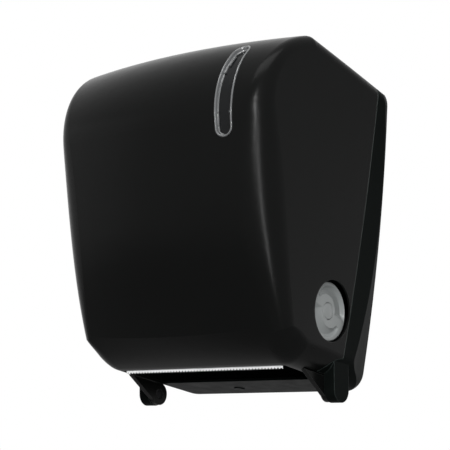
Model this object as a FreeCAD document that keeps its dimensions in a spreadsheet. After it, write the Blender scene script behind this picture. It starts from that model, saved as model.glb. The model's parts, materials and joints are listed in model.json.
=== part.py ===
"""Wall-hung roll-towel dispenser: a hinged cover over a cutting drum that a side knob can turn by hand.

Frame: the wall plane is y = 0 and the dispenser stands in front of it (negative Y), +Z is up and +X is the
knob's side. The origin is the middle of the wall face. Millimetres and degrees.
"""
import FreeCAD, Part
import Sketcher
import math
import os
import re
from types import SimpleNamespace
from FreeCAD import Placement, Rotation, Vector

doc = FreeCAD.newDocument("RollTowelDispenser")
sheet = doc.addObject("Spreadsheet::Sheet", "Sizes")

SIZES = {
    # outer form: side profile
    "frontDepth": 212.0,        # wall to the foremost line of the cover, on the centre plane
    "frontCrown": 12.0,         # how far the front falls back at crownSpan from the centre
    "topCrown": 3.0,            # how far the top drops at crownSpan from the centre
    "crownSpan": 140.0,
    "rolloverRadius": 97.0,     # big roll-over from the front into the top
    "rolloverHeight": 103.0,    # height of its centre, where the front stands upright
    "frontRadius": 528.0,       # gentle curve of the front below that
    "ridgeRise": 96.5,          # ridge where the roll-over meets the top, above rolloverHeight
    "ridgeDepth": 135.0,
    "ridgeBlend": 14.0,
    "topSlope": 18.5,           # the top falls towards the wall
    "lipDepth": 123.0,          # front edge of the towel outlet
    "lipHeight": -136.0,
    "lipBlend": 30.0,
    "lipBlendAngle": 24.0,
    "creaseHeight": -106.0,     # edge between front and undercut, on the centre plane
    "creaseRise": 6.2,          # and how much higher it is at crownSpan from the centre
    "undercutReach": 130.0,     # how far the undercut's surface runs on past the front
    "sectionReach": 180.0,      # where the outermost sections of the form stand, past its sides
    "floorSlope": 10.3,         # the underside falls towards the wall
    # outer form: sides, edges and walls
    "sideFront": 136.0,         # half width at sideFrontDepth, the same at every height
    "sideFrontDepth": 220.0,
    "sideLow": 131.0,           # half width at the wall, at sideLowHeight
    "sideLowHeight": -140.0,
    "sideHigh": 156.5,          # half width at the wall, at sideHighHeight
    "sideHighHeight": 126.0,
    "cornerHigh": 28.0,         # front corner radius at the ridge
    "cornerMiddle": 36.0,       # and where the front starts to fall back
    "cornerLow": 4.0,           # and below the crease
    "topCorner": 12.0,
    "floorCorner": 28.0,        # side edge of the floor and the lip
    "creaseCorner": 9.0,        # and of the undercut, where it meets the crease
    "shellWall": 2.5,
    "backWall": 3.0,
    # seam between cover and housing
    "seamTopDepth": 18.5,
    "seamTopRise": 67.0,        # above rolloverHeight
    "seamMiddleDepth": 33.0,
    "seamMiddleHeight": 7.0,
    "seamLowDepth": 61.0,
    "seamLowHeight": -155.0,
    "seamGap": 0.5,
    # wall face of the housing
    "wallLow": 121.5,           # half width of the wall face at wallLowHeight
    "wallLowHeight": -138.0,
    "wallHigh": 155.0,          # and at wallHighHeight
    "wallHighHeight": 130.0,
    "wallBulge": 4.3,           # how far its sides bow outwards
    "wallTopRise": 61.0,        # above rolloverHeight
    "wallBottom": -158.3,
    "wallTopCorner": 22.0,
    "wallLowCorner": 22.0,
    "bevelSlope": 0.27,         # widening of the bevelled rear edge per depth
    "bevelDepth": 80.0,
    # wall screws
    "wallScrewSpan": 170.0,
    "wallScrewRise": 130.0,
    "wallScrewMiddle": 60.0,
    "wallScrewRadius": 3.0,
    # towel outlet and floor plug
    "outletHalf": 109.0,
    "plugAside": 25.0,
    "plugDepth": 24.0,
    "plugRadius": 6.0,
    "plugProud": 0.8,
    "plugTall": 6.0,
    # fits
    "runningFit": 0.05,         # radial play of what turns
    "snugFit": 0.01,            # of what is pressed on
    "looseFit": 0.1,            # of what only drops in
    "endPlay": 0.3,             # between faces that pass each other
    "overrun": 1.0,             # how far a cutter stands past what it cuts
    # cover hinge
    "hingeDepth": 56.0,
    "hingeHeight": -159.0,
    "hingePin": 3.5,
    "armInner": 112.5,
    "armOuter": 118.0,
    "armEye": 12.3,
    "armTipDepth": 102.0,
    "armRelief": 0.7,
    "bossInner": 118.5,
    "bossOuter": 131.0,
    "bossRadius": 13.0,
    "patchRadius": 32.0,        # the housing's skin reaches this far round the hinge
    "pinHead": 5.0,
    "pinHeadTall": 2.0,
    "pinRecess": 2.5,
    "pinReach": 128.0,
    # sight window
    "windowMiddle": 96.9,
    "windowHalf": 9.7,
    "windowDrop": 10.4,         # centre of its round lower end, below rolloverHeight
    "windowRise": 71.2,         # centre of its round upper end, above rolloverHeight
    "windowLean": 4.1,          # how far the upper end stands nearer to the centre plane
    "windowTaper": 0.5,         # how much smaller the upper end's radius is
    "windowBow": 0.8,           # outward bow of its long edges
    "windowRim": 1.8,
    "windowProud": 0.9,
    "windowFlange": 3.0,
    "windowSkin": 1.5,
    "windowPlay": 0.15,
    # tear strip behind the outlet's front edge
    "stripHalf": 104.0,
    "stripWall": 1.0,
    "stripDepth": 119.5,        # its rear face
    "stripBottom": -139.2,
    "stripTall": 20.0,
    "toothPitch": 4.0,
    "toothDepth": 1.8,
    "ribHalf": 4.0,
    "ribPitch": 45.0,
    "ribFoot": -136.0,
    "ribTop": -114.0,
    "stripScrewHeight": -125.0,
    # mechanism cheeks
    "cheekInner": 107.0,
    "cheekWall": 3.0,
    "cheekFront": 126.0,
    "cheekCut": 26.0,           # how far its lower front corner is cut back
    "cheekLow": -132.0,
    "cheekHigh": 12.0,
    "cheekShoulder": -40.0,
    "cheekNose": 10.0,          # its top reaches this far in front of the front rod
    "footTall": 16.0,
    "footReach": 12.0,
    "footWall": 3.0,
    # drum
    "drumDepth": 78.6,
    "drumHeight": -80.4,
    "drumRadius": 42.0,
    "drumWall": 3.0,
    "drumHalf": 100.0,
    "drumEnd": 4.0,
    "drumSplit": 0.5,           # degrees left open between the two drum shells
    "slotLead": 5.0,
    "slotTrail": 15.0,
    "slotDirection": 220.0,     # the knife slot looks down and forwards at rest
    "shaftRadius": 5.0,
    "shaftLeft": 118.0,
    "shaftRight": 124.3,
    "bushRadius": 8.0,
    "bushFlange": 10.5,
    "bushFlangeWall": 1.5,
    "gripThick": 1.0,
    "gripHalf": 14.0,
    "gripPitch": 66.0,
    # knife
    "knifeAlong": 20.0,         # knife pivot, along the slot direction and behind it
    "knifeAside": 24.0,
    "knifePin": 2.5,
    "knifeEye": 4.5,
    "knifeHalf": 94.5,
    "knifeWeb": 3.0,
    "knifeRest": 30.0,          # outer end of the carrier's blade seat
    "bladeTip": 39.8,
    "bladeFoot": 24.0,
    "bladeWall": 1.0,
    "bladePitch": 5.0,
    "bladeDepth": 3.0,
    "camArmWall": 2.8,
    "camArmGap": 0.6,
    "followerAlong": 30.0,
    "followerAside": 10.0,
    "followerRadius": 3.0,
    "camRadius": 47.0,
    "camBore": 41.5,
    "camOffset": 2.0,
    "camWall": 3.1,
    # pressure roller
    "pressureRadius": 9.5,
    "pressureGap": 1.3,
    "pressureAxle": 3.0,
    "pressureHalf": 111.4,
    "sleeveHalf": 22.0,
    "blockSide": 7.0,
    "blockFit": 0.3,
    "blockStart": 107.2,
    "blockLength": 4.4,
    "blockSpringRadius": 4.0,
    "blockSpringWire": 0.9,
    "blockSpringTurns": 5.0,
    "blockSpringTall": 15.0,
    # rods and guide
    "tieRadius": 4.0,
    "frontTieDepth": 104.0,
    "frontTieHeight": -6.0,
    "rearTieDepth": 16.0,
    "rearTieHeight": 4.0,
    "guideRadius": 51.0,
    "guideWall": 2.0,
    "guideStart": 262.0,
    "guideSweep": 88.0,
    # anti-reverse ratchet at the drum's left end
    "ratchetStart": 112.0,
    "ratchetWall": 4.0,
    "ratchetRadius": 20.0,
    "ratchetRoot": 17.0,
    "ratchetTeeth": 12.0,
    "toothLand": 4.0,           # degrees of root between two teeth
    "pawlAlong": 26.0,
    "pawlAside": 20.0,
    "pawlPin": 2.5,
    "pawlEye": 5.0,
    "pawlTip": 17.6,            # its tip stands this far from the drum's axis,
    "pawlLead": 2.5,            # and this many degrees in front of a tooth's steep face
    "pawlKnee": 14.0,           # degrees from there to where it leaves the wheel
    "pawlClear": 0.8,           # it then stays this far outside the teeth
    "pawlBack": 5.0,            # thickness of its finger
    "pawlLift": 9.0,            # degrees it is swung clear of the wheel at rest
    # feed knob
    "knobRadius": 30.0,
    "knobHole": 31.3,
    "knobInner": 119.0,
    "knobOuter": 131.2,
    "knobFloor": 7.0,
    "knobRim": 4.0,
    "knobHub": 9.5,
    "knobHubStart": 112.5,
    "knobCapRadius": 9.0,
    "knobCapTall": 2.2,
    "knobCapProud": 0.8,
    "knobWeb": 2.2,             # between the shaft's end and the screw's head
    "scoopOuter": 23.5,
    "scoopInner": 12.5,
    "scoopDepth": 3.0,
    "scoopSweep": 120.0,
    "scoopStart": 30.0,
    # roll holder
    "rollDepth": 106.0,
    "rollHeight": 88.0,
    "holderInner": 112.5,
    "holderWall": 4.0,
    "holderTall": 30.0,
    "holderTip": 15.0,
    "holderBevel": 8.0,
    "holderNeck": 10.0,         # the sprung arm keeps its knuckle's height this far from its pivot,
    "holderFlare": 6.0,         # and widens over this length
    "hubRadius": 19.0,
    "hubLength": 10.5,
    "hubFlange": 24.0,
    "hubFlangeWall": 2.0,
    "hubGap": 0.5,
    "axleRadius": 5.0,
    "axleHead": 7.0,
    "axleHeadTall": 1.5,
    "holderPivot": 12.0,
    "holderPin": 2.5,
    "knuckleRadius": 5.0,
    "knuckleTall": 18.0,
    "earTall": 7.0,
    "bracketWall": 2.0,
    "bracketHalf": 12.0,
    # lock, measured along and square to the sloping top
    "lockDepth": 45.0,
    "lockRadius": 9.0,
    "lockFlange": 11.5,
    "lockFlangeTall": 1.2,
    "lockCore": 5.0,
    "lockTall": 20.0,
    "nutRadius": 13.0,
    "nutTall": 3.0,
    "keySlot": 1.2,
    "keyHalf": 3.5,
    "tongueHalf": 5.0,
    "tongueReach": 38.0,
    "tongueWall": 2.5,
    "hookWall": 4.0,
    "hookTall": 4.0,
    "strikerHalf": 6.0,
    "strikerAt": 31.0,
    "strikerWall": 2.0,
    "strikerTall": 15.5,
    "strikerSeat": 2.7,
    "strikerFlange": 9.0,
    # fasteners
    "screwRadius": 1.5,
    "screwHead": 3.0,
    "screwHeadTall": 2.0,
    "screwLength": 8.0,
    "shortScrew": 5.5,
}

for row, (alias, value) in enumerate(SIZES.items(), start=1):
    sheet.set(f"A{row}", alias)
    sheet.set(f"B{row}", str(value))
    sheet.setAlias(f"B{row}", alias)
doc.recompute()
size = SimpleNamespace(**{alias: float(sheet.get(alias)) for alias in SIZES})
size.ridgeHeight = size.rolloverHeight + size.ridgeRise
size.seamTopHeight = size.rolloverHeight + size.seamTopRise
size.wallTop = size.rolloverHeight + size.wallTopRise
size.windowLow = size.rolloverHeight - size.windowDrop
size.windowTop = size.rolloverHeight + size.windowRise

FAR = 400.0                     # reach of cutting blocks, beyond the whole dispenser
BEYOND = 20.0                   # how far the form's raw blocks run on past its walls before they are cut
NEAR = 0.15                     # a point this close to a surface counts as on it
OVERLAP = 0.05                  # blocks that are joined or intersected run this far into each other
SIDES = {"left": "-1", "right": "1"}
DRUM = ("0", "-drumDepth", "drumHeight")
HINGE = ("0", "-hingeDepth", "hingeHeight")
TURN = {"X": Rotation(Vector(1, 1, 1), 120), "Y": Rotation(Vector(1, 1, 1), 240), "Z": Rotation()}
nodes = []


# ---- expression-bound building blocks

def formula(text):
    """The same formula with every size read from the sheet."""
    return re.sub(r"[A-Za-z]\w*", lambda word: f"Sizes.{word[0]}" if word[0] in SIZES else word[0], text)


def bind(thing, values):
    for name, text in values.items():
        thing.setExpression(name, formula(text))


def put(thing, at):
    bind(thing, dict(zip(("Placement.Base.x", "Placement.Base.y", "Placement.Base.z"), at)))
    return thing


def tilt(thing, at, axis, angle):
    """Places a finished piece at a point, turned about an axis through it."""
    thing.Placement = Placement(Vector(), Rotation(axis, 1.0))
    bind(thing, {"Placement.Rotation.Angle": angle})
    return put(thing, at)


def node(name, thing):
    thing.Label = name
    nodes.append(thing)
    return thing


def box(name, low, high):
    solid = doc.addObject("Part::Box", name)
    sides = {"Length": 0, "Width": 1, "Height": 2}
    bind(solid, {side: f"({high[i]})-({low[i]})" for side, i in sides.items()})
    return put(solid, low)


def rod(name, at, radius, length, axis="X"):
    solid = doc.addObject("Part::Cylinder", name)
    solid.Placement.Rotation = TURN[axis]
    bind(solid, {"Radius": radius, "Height": length})
    return put(solid, at)


def sector(name, at, radius, length, start, sweep):
    """A slice of a cylinder about an axis along +X; angles are taken from +Y towards +Z."""
    solid = rod(name, at, radius, length)
    solid.Placement.Rotation = Rotation(Vector(1, 0, 0), start).multiply(TURN["X"])
    bind(solid, {"Angle": sweep})
    return solid


def joined(name, *pieces):
    whole = doc.addObject("Part::MultiFuse", name)
    whole.Shapes = list(pieces)
    return whole


def group(name, *pieces):
    whole = doc.addObject("Part::Compound", name)
    whole.Links = list(pieces)
    return whole


def without(name, base, *tools):
    rest = doc.addObject("Part::Cut", name)
    rest.Base = base
    rest.Tool = tools[0] if len(tools) == 1 else joined(name + "_cutters", *tools)
    return rest


def tube(name, at, radius, bore, length, axis="X"):
    inside = rod(name + "_bore", at, bore, length, axis)
    return without(name, rod(name + "_outside", at, radius, length, axis), inside)


def outline(body, name, plane, offset, corners=(), circles=(), windows=()):
    """A sketch with polygons and circles whose every point is bound to the sheet."""
    sketch = body.newObject("Sketcher::SketchObject", name)
    support = next(item for item in body.Origin.OriginFeatures if item.Role == plane + "_Plane")
    sketch.AttachmentSupport = [(support, "")]
    sketch.MapMode = "FlatFace"
    bind(sketch, {"AttachmentOffset.Base.z": offset})
    for polygon in ([corners] if corners else []) + list(windows):
        drawPolygon(sketch, polygon)
    for across, up, radius in circles:
        drawCircle(sketch, across, up, radius)
    return sketch


def pinDown(sketch, geometry, point, across, up):
    for kind, text in (("DistanceX", across), ("DistanceY", up)):
        index = sketch.addConstraint(Sketcher.Constraint(kind, -1, 1, geometry, point, 1.0))
        sketch.setExpression(f"Constraints[{index}]", formula(text))


def drawPolygon(sketch, corners):
    count = len(corners)
    first = sketch.GeometryCount
    ring = [Vector(math.cos(math.tau * i / count), math.sin(math.tau * i / count)) for i in range(count)]
    for i in range(count):
        sketch.addGeometry(Part.LineSegment(ring[i], ring[(i + 1) % count]))
    for i, (across, up) in enumerate(corners):
        following = first + (i + 1) % count
        sketch.addConstraint(Sketcher.Constraint("Coincident", first + i, 2, following, 1))
        pinDown(sketch, first + i, 1, across, up)


def drawCircle(sketch, across, up, radius):
    ring = sketch.addGeometry(Part.Circle(Vector(), Vector(0, 0, 1), 1.0))
    pinDown(sketch, ring, 3, across, up)
    index = sketch.addConstraint(Sketcher.Constraint("Radius", ring, 1.0))
    sketch.setExpression(f"Constraints[{index}]", formula(radius))


def plate(name, plane, start, thick, corners=(), circles=(), windows=()):
    """A flat piece padded from one sketch, from start along the plane's normal."""
    body = doc.addObject("PartDesign::Body", name)
    sketch = outline(body, name + "_outline", plane, start, corners, circles, windows)
    pad = body.newObject("PartDesign::Pad", name + "_pad")
    pad.Profile = sketch
    bind(pad, {"Length": thick})
    return body


def turned(name, profile, at=DRUM):
    """A piece of revolution about an axis along X, from (along, radius) corners."""
    body = doc.addObject("PartDesign::Body", name)
    sketch = outline(body, name + "_profile", "XY", "0", profile)
    spin = body.newObject("PartDesign::Revolution", name + "_spin")
    spin.Profile = sketch
    spin.ReferenceAxis = (sketch, ["H_Axis"])
    spin.Angle = 360
    return put(body, at)


def toothed(name, half, front, wall, low, high, pitch, depth):
    """An upright strip along X with a saw-toothed lower edge."""
    body = doc.addObject("PartDesign::Body", name)
    corners = [(f"-{half}", low), (half, low), (half, high), (f"-{half}", high)]
    sketch = outline(body, name + "_outline", "XZ", front, corners)
    pad = body.newObject("PartDesign::Pad", name + "_pad")
    pad.Profile = sketch
    bind(pad, {"Length": wall})
    notch = [(f"-{half}", f"{low}-overrun"), (f"-{half}+{pitch}", f"{low}-overrun")]
    notch += [(f"-{half}+{pitch}", low), (f"-{half}+{pitch}/2", f"{low}+{depth}"), (f"-{half}", low)]
    teeth = outline(body, name + "_notch", "XZ", front, notch)
    pocket = body.newObject("PartDesign::Pocket", name + "_gullet")
    pocket.Profile = teeth
    pocket.Type = "ThroughAll"
    pocket.Midplane = True
    row = body.newObject("PartDesign::LinearPattern", name + "_row")
    row.Originals = [pocket]
    row.Direction = (teeth, ["H_Axis"])
    bind(row, {"Length": f"2*{half}-{pitch}", "Occurrences": f"round(2*{half}/{pitch})"})
    body.Tip = row
    return body


def screw(name, seat, axis, way, length="screwLength"):
    """A pan-head screw: seat is under its head, and its shank runs from there along way times the axis."""
    index = "XYZ".index(axis)
    shankAt = list(seat)
    headAt = list(seat)
    if way > 0:
        headAt[index] = f"({seat[index]})-screwHeadTall"
    else:
        shankAt[index] = f"({seat[index]})-({length})"
    head = rod(name + "_head", headAt, "screwHead", "screwHeadTall", axis)
    return joined(name, head, rod(name + "_shank", shankAt, "screwRadius", length, axis))


def coil(name, radius, wire, pitch, turns):
    """A wire coil standing on the XY plane, swept along a helix."""
    path = doc.addObject("Part::Helix", name + "_path")
    bind(path, {"Radius": radius, "Pitch": pitch, "Height": f"({pitch})*({turns})"})
    section = doc.addObject("Part::Circle", name + "_section")
    section.Placement.Rotation = TURN["Y"]
    bind(section, {"Radius": f"({wire})/2", "Placement.Base.x": radius})
    sweep = doc.addObject("Part::Sweep", name)
    sweep.Sections = [section]
    sweep.Spine = (path, ["Edge1"])
    sweep.Solid = True
    sweep.Frenet = True
    return sweep


# ---- free-form shells: the profile in the YZ plane, crowned across X, between ruled sides

def yz(y, z):
    return Vector(0, y, z)


def polar(centre, radius, angle):
    turn = math.radians(angle)
    return centre + yz(radius * math.cos(turn), radius * math.sin(turn))


def arc(centre, radius, start, end):
    middle = polar(centre, radius, (start + end) / 2)
    return Part.Arc(polar(centre, radius, start), middle, polar(centre, radius, end)).toShape()


def chain(*points):
    return [Part.makeLine(points[i], points[i + 1]) for i in range(len(points) - 1)]


def frontProfile(share, inset):
    """Top line, ridge blend, roll-over and front curve, fallen back and down by a share of the crown."""
    slope = math.radians(size.topSlope)
    across = yz(math.sin(slope), math.cos(slope))
    along = yz(math.cos(slope), -math.sin(slope))
    rollover = yz(-size.frontDepth + size.rolloverRadius, size.rolloverHeight)
    offset = yz(-size.ridgeDepth, size.ridgeHeight) - across * size.ridgeBlend - rollover
    lean = offset.dot(along)
    reach = (size.rolloverRadius - size.ridgeBlend) ** 2 - offset.dot(offset) + lean * lean
    ridge = rollover + offset + along * (-lean - math.sqrt(reach))
    turn = math.degrees(math.atan2(ridge.z - rollover.z, ridge.y - rollover.y))
    blend = size.ridgeBlend - inset
    crest = ridge + across * blend
    rearTop = crest + along * ((BEYOND - crest.y) / along.y)
    front = yz(-size.frontDepth + size.frontRadius, size.rolloverHeight)
    radius = size.frontRadius - inset
    below = size.wallBottom - BEYOND
    lowAngle = 180 + math.degrees(math.asin((size.rolloverHeight - below) / radius))
    foot = polar(front, radius, lowAngle)
    edges = chain(rearTop, crest)
    edges += [arc(ridge, blend, 90 - size.topSlope, turn)]
    edges += [arc(rollover, size.rolloverRadius - inset, turn, 180), arc(front, radius, 180, lowAngle)]
    wire = Part.Wire(edges + chain(foot, yz(BEYOND, foot.z), rearTop))
    wire.translate(yz(size.frontCrown, -size.topCrown) * share)
    return wire


def sideHalf(y, z):
    """Half width of the outer form: a ruled surface from the wall to the front."""
    rise = (size.sideHigh - size.sideLow) / (size.sideHighHeight - size.sideLowHeight)
    rear = size.sideLow + rise * (z - size.sideLowHeight)
    return rear - (size.sideFront - rear) * y / size.sideFrontDepth


def sideBlock(inset):
    low = size.wallBottom - 2 * BEYOND
    high = size.ridgeHeight + 2 * BEYOND
    frames = []
    for y in (0.0, -size.frontDepth - 2 * BEYOND):
        bottom = sideHalf(y, low) - inset
        top = sideHalf(y, high) - inset
        corners = [(-bottom, low), (bottom, low), (top, high), (-top, high), (-bottom, low)]
        frames.append(Part.makePolygon([Vector(x, y, z) for x, z in corners]))
    return Part.makeLoft(frames, True, True)


def frontDepthAt(height, share):
    """Depth of the front's lower curve, in the section that has this share of the crown."""
    centre = size.frontRadius - size.frontDepth + size.frontCrown * share
    drop = size.rolloverHeight - size.topCrown * share - height
    return centre - math.sqrt(size.frontRadius ** 2 - drop ** 2)


def undercutProfile(share, inset):
    """Line past the front, arc from the crease, lip blend and floor line, closed far above."""
    slope = math.radians(size.floorSlope)
    lip = yz(-size.lipDepth, size.lipHeight) + yz(math.sin(slope), math.cos(slope)) * size.lipBlend
    bend = 270 - size.lipBlendAngle
    foot = polar(lip, size.lipBlend, bend)
    height = size.creaseHeight + size.creaseRise * share
    chord = yz(frontDepthAt(height, share), height) - foot
    inward = polar(yz(0, 0), 1.0, bend - 180)
    radius = chord.dot(chord) / (2 * chord.dot(inward))
    under = foot + inward * radius
    crease = 180 + math.degrees(math.asin((under.z - height) / radius))
    start = polar(under, radius - inset, crease)
    end = polar(lip, size.lipBlend - inset, 270 - size.floorSlope)
    top = polar(start, size.undercutReach, crease - 90)
    rear = end + yz(1.0, -math.tan(slope)) * (BEYOND - end.y)
    edges = chain(top, start) + [arc(under, radius - inset, crease, bend)]
    edges += [arc(lip, size.lipBlend - inset, bend, 270 - size.floorSlope)]
    return Part.Wire(edges + chain(end, rear, yz(BEYOND, FAR), yz(top.y, FAR), top))


def acrossSections(profile, inset):
    """Smooth loft through a profile's sections at the middle and far out on both sides."""
    share = (size.sectionReach / size.crownSpan) ** 2
    wires = []
    for x, crown in ((-size.sectionReach, share), (0.0, 0.0), (size.sectionReach, share)):
        wire = profile(crown, inset)
        wire.translate(Vector(x, 0, 0))
        wires.append(wire)
    return Part.makeLoft(wires, True, False)


def onSide(point, inset):
    return abs(abs(point.x) - sideHalf(point.y, point.z) + inset) < NEAR and point.y < -NEAR


def middle(edge):
    return edge.valueAt((edge.FirstParameter + edge.LastParameter) / 2)


def underRadius(point):
    return size.floorCorner if point.z < size.creaseHeight - BEYOND else size.creaseCorner


def cornerRadius(point):
    if point.z < size.wallBottom:
        return size.cornerLow
    if point.z < size.rolloverHeight:
        return size.cornerMiddle
    if point.y > -size.ridgeDepth - size.ridgeBlend / 2:
        return size.topCorner
    return size.cornerHigh


def feature(name, shape):
    solid = doc.addObject("Part::Feature", name)
    solid.Shape = shape
    return solid


def hull(name, inset):
    """The whole outer form, moved in by inset, with its side edges rounded."""
    upper = feature(name + "_upper", acrossSections(frontProfile, inset).common(sideBlock(inset)).Solids[0])
    rounds = []
    for index, edge in enumerate(upper.Shape.Edges, start=1):
        ends = [vertex.Point for vertex in (edge.Vertexes[0], edge.Vertexes[-1])]
        if onSide(middle(edge), inset) and max(end.z for end in ends) > size.wallBottom:
            rounds.append((index, *(cornerRadius(end) - inset for end in ends)))
    rounded = doc.addObject("Part::Fillet", name + "_rounded")
    rounded.Base = upper
    rounded.Edges = rounds
    doc.recompute()
    lower = feature(name + "_lower", acrossSections(undercutProfile, inset).common(sideBlock(inset - OVERLAP)).Solids[0])
    under = []
    for index, edge in enumerate(lower.Shape.Edges, start=1):
        ends = [vertex.Point for vertex in (edge.Vertexes[0], edge.Vertexes[-1])]
        if onSide(middle(edge), inset) and min(end.z for end in ends) < size.creaseHeight / 2:
            under.append((index, *(underRadius(end) - inset for end in ends)))
    curved = doc.addObject("Part::Fillet", name + "_curved")
    curved.Base = lower
    curved.Edges = under
    doc.recompute()
    return rounded.Shape.common(curved.Shape)


def slab(low, high):
    return Part.makeBox(*(b - a for a, b in zip(low, high)), Vector(*low))


def seamSide(shift, forward):
    """Everything before or behind the seam, an arc through three points, moved by shift."""
    points = [yz(-size.seamTopDepth, size.seamTopHeight), yz(-size.seamMiddleDepth, size.seamMiddleHeight)]
    points += [yz(-size.seamLowDepth, size.seamLowHeight)]
    circle = Part.Arc(*points).toShape().Curve
    centre = circle.Center + yz(shift, 0)
    spans = [math.degrees(math.asin((z - centre.z) / circle.Radius)) for z in (-FAR * 0.55, FAR * 0.55)]
    if centre.y > 0:
        spans = [180 - span for span in spans]
    edge = arc(centre, circle.Radius, *spans)
    low, high = sorted((edge.Vertexes[0].Point, edge.Vertexes[-1].Point), key=lambda point: point.z)
    reach = -FAR if forward else FAR
    face = Part.Face(Part.Wire([edge] + chain(high, yz(reach, high.z), yz(reach, low.z), low)))
    face.translate(Vector(-FAR / 2, 0, 0))
    return face.extrude(Vector(FAR, 0, 0))


def wallOutline(inset, grow):
    """The wall face's outline with bowed sides and round corners, widened by grow."""
    low = size.wallBottom - grow
    high = size.wallTop + grow

    def half(z):
        share = (z - size.wallLowHeight) / (size.wallHighHeight - size.wallLowHeight)
        bow = 4 * size.wallBulge * share * (1 - share)
        return size.wallLow + (size.wallHigh - size.wallLow) * share + bow + grow - inset

    heights = (low, (low + high) / 2, high)
    left, right = ([Vector(sign * half(z), 0, z) for z in heights] for sign in (-1, 1))
    edges = [Part.Arc(*right).toShape(), Part.makeLine(right[2], left[2])]
    edges += [Part.Arc(*reversed(left)).toShape(), Part.makeLine(left[0], right[0])]
    face = Part.Face(Part.Wire(edges))
    thick = face.extrude(Vector(0, 1, 0))
    for corner, radius in ((low, size.wallLowCorner), (high, size.wallTopCorner)):
        level = [edge for edge in thick.Edges if abs(middle(edge).z - corner) < NEAR]
        through = [edge for edge in level if edge.BoundBox.YLength > NEAR]
        thick = thick.makeFillet(radius + grow - inset, through)
    return next(face.OuterWire for face in thick.Faces if abs(face.CenterOfMass.y) < NEAR)


def bevelBlock(inset):
    """The body behind which the bevelled rear edge is cut away."""
    rear = wallOutline(inset, 0.0)
    front = wallOutline(inset, size.bevelSlope * size.bevelDepth)
    front.translate(Vector(0, -size.bevelDepth, 0))
    return Part.makeLoft([rear, front], True, True)


def roundBar(centre, radius, start, end):
    return Part.makeCylinder(radius, end - start, Vector(start, centre.y, centre.z), Vector(1, 0, 0))


def floorHeight(y):
    return size.lipHeight - (y + size.lipDepth) * math.tan(math.radians(size.floorSlope))


def hingeBoss(sign):
    """Block round the hinge pin that grows out of the housing's underside."""
    hinge = yz(-size.hingeDepth, size.hingeHeight)
    start, end = sorted((sign * size.bossInner, sign * size.bossOuter))
    low = (start, hinge.y - size.bossRadius, hinge.z)
    high = (end, hinge.y + size.bossRadius, hinge.z + size.patchRadius)
    block = slab(low, high).common(roundBar(hinge, size.patchRadius - size.seamGap, start, end))
    block = block.fuse(roundBar(hinge, size.bossRadius, start, end))
    pin = size.hingePin + size.runningFit
    reach = size.pinReach + size.runningFit
    return block.cut(roundBar(hinge, pin, *sorted((sign * size.armOuter, sign * reach))))


def hingeArm(sign):
    """Cover arm: a slanted plate from the cover's floor down to the eye on the hinge pin."""
    hinge = yz(-size.hingeDepth, size.hingeHeight)
    start, end = sorted((sign * size.armInner, sign * size.armOuter))
    inside = size.shellWall / 2
    tip = yz(-size.armTipDepth, floorHeight(-size.armTipDepth) + inside)
    rear = yz(hinge.y - size.armEye / 2, floorHeight(hinge.y - size.armEye / 2) + inside)
    under = polar(hinge, size.armEye, 255)
    face = Part.Face(Part.Wire(chain(tip, under, hinge, rear, tip)))
    face.translate(Vector(start, 0, 0))
    arm = face.extrude(Vector(end - start, 0, 0)).fuse(roundBar(hinge, size.armEye, start, end))
    arm = arm.cut(roundBar(hinge, size.hingePin + size.runningFit, start - size.overrun, end + size.overrun))
    head = sorted((sign * (size.armInner - size.overrun), sign * (size.armInner + size.pinRecess)))
    return arm.cut(roundBar(hinge, size.pinHead + size.endPlay, *head))


def windowOutline(grow):
    """A leaning strip with round ends and slightly bowed long edges, as a prism through the front."""
    low = Vector(size.windowMiddle, 0, size.windowLow)
    high = Vector(size.windowMiddle - size.windowLean, 0, size.windowTop)
    wide, narrow = (Vector(size.windowHalf - taper + grow, 0, 0) for taper in (0.0, size.windowTaper))
    halfway = (low + high) / 2
    bow = (wide + narrow) / 2 + Vector(size.windowBow, 0, 0)
    down, up = Vector(0, 0, -wide.x), Vector(0, 0, narrow.x)
    edges = [Part.Arc(low - wide, low + down, low + wide).toShape()]
    edges += [Part.Arc(low + wide, halfway + bow, high + narrow).toShape()]
    edges += [Part.Arc(high + narrow, high + up, high - narrow).toShape()]
    edges += [Part.Arc(high - narrow, halfway - bow, low - wide).toShape()]
    face = Part.Face(Part.Wire(edges))
    face.translate(yz(-size.ridgeDepth, 0))
    return face.extrude(yz(-FAR, 0))


def onTop(shape):
    """Moves a piece from its own frame onto the lock's place, square to the sloping top."""
    moved = shape.copy()
    height = size.ridgeHeight - (size.ridgeDepth - size.lockDepth) * math.tan(math.radians(size.topSlope))
    moved.Placement = Placement(yz(-size.lockDepth, height), Rotation(Vector(1, 0, 0), -size.topSlope))
    return moved


def onFloor(shape):
    """Moves a piece from its own frame onto the floor plug's place, square to the sloping floor."""
    moved = shape.copy()
    place = Vector(-size.plugAside, -size.plugDepth, floorHeight(-size.plugDepth))
    moved.Placement = Placement(place, Rotation(Vector(1, 0, 0), -size.floorSlope))
    return moved


def wallScrewPlaces():
    rise = size.wallScrewRise / 2
    return [Vector(x, 0, size.wallScrewMiddle + z) for x in (-size.wallScrewSpan / 2, size.wallScrewSpan / 2)
            for z in (-rise, rise)]


def footScrewPlaces():
    across = size.cheekInner + size.cheekWall + size.footReach / 2
    heights = (size.cheekLow + size.footTall / 2, size.cheekHigh - size.footTall / 2)
    return [Vector(sign * across, 0, z) for sign in (-1, 1) for z in heights]


def drilled(shape, places, radius, depth):
    """Bores from the room side into the back wall."""
    for place in places:
        start = place + yz(-size.backWall - size.overrun, 0)
        shape = shape.cut(Part.makeCylinder(radius, depth + size.overrun, start, yz(1, 0)))
    return shape


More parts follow.
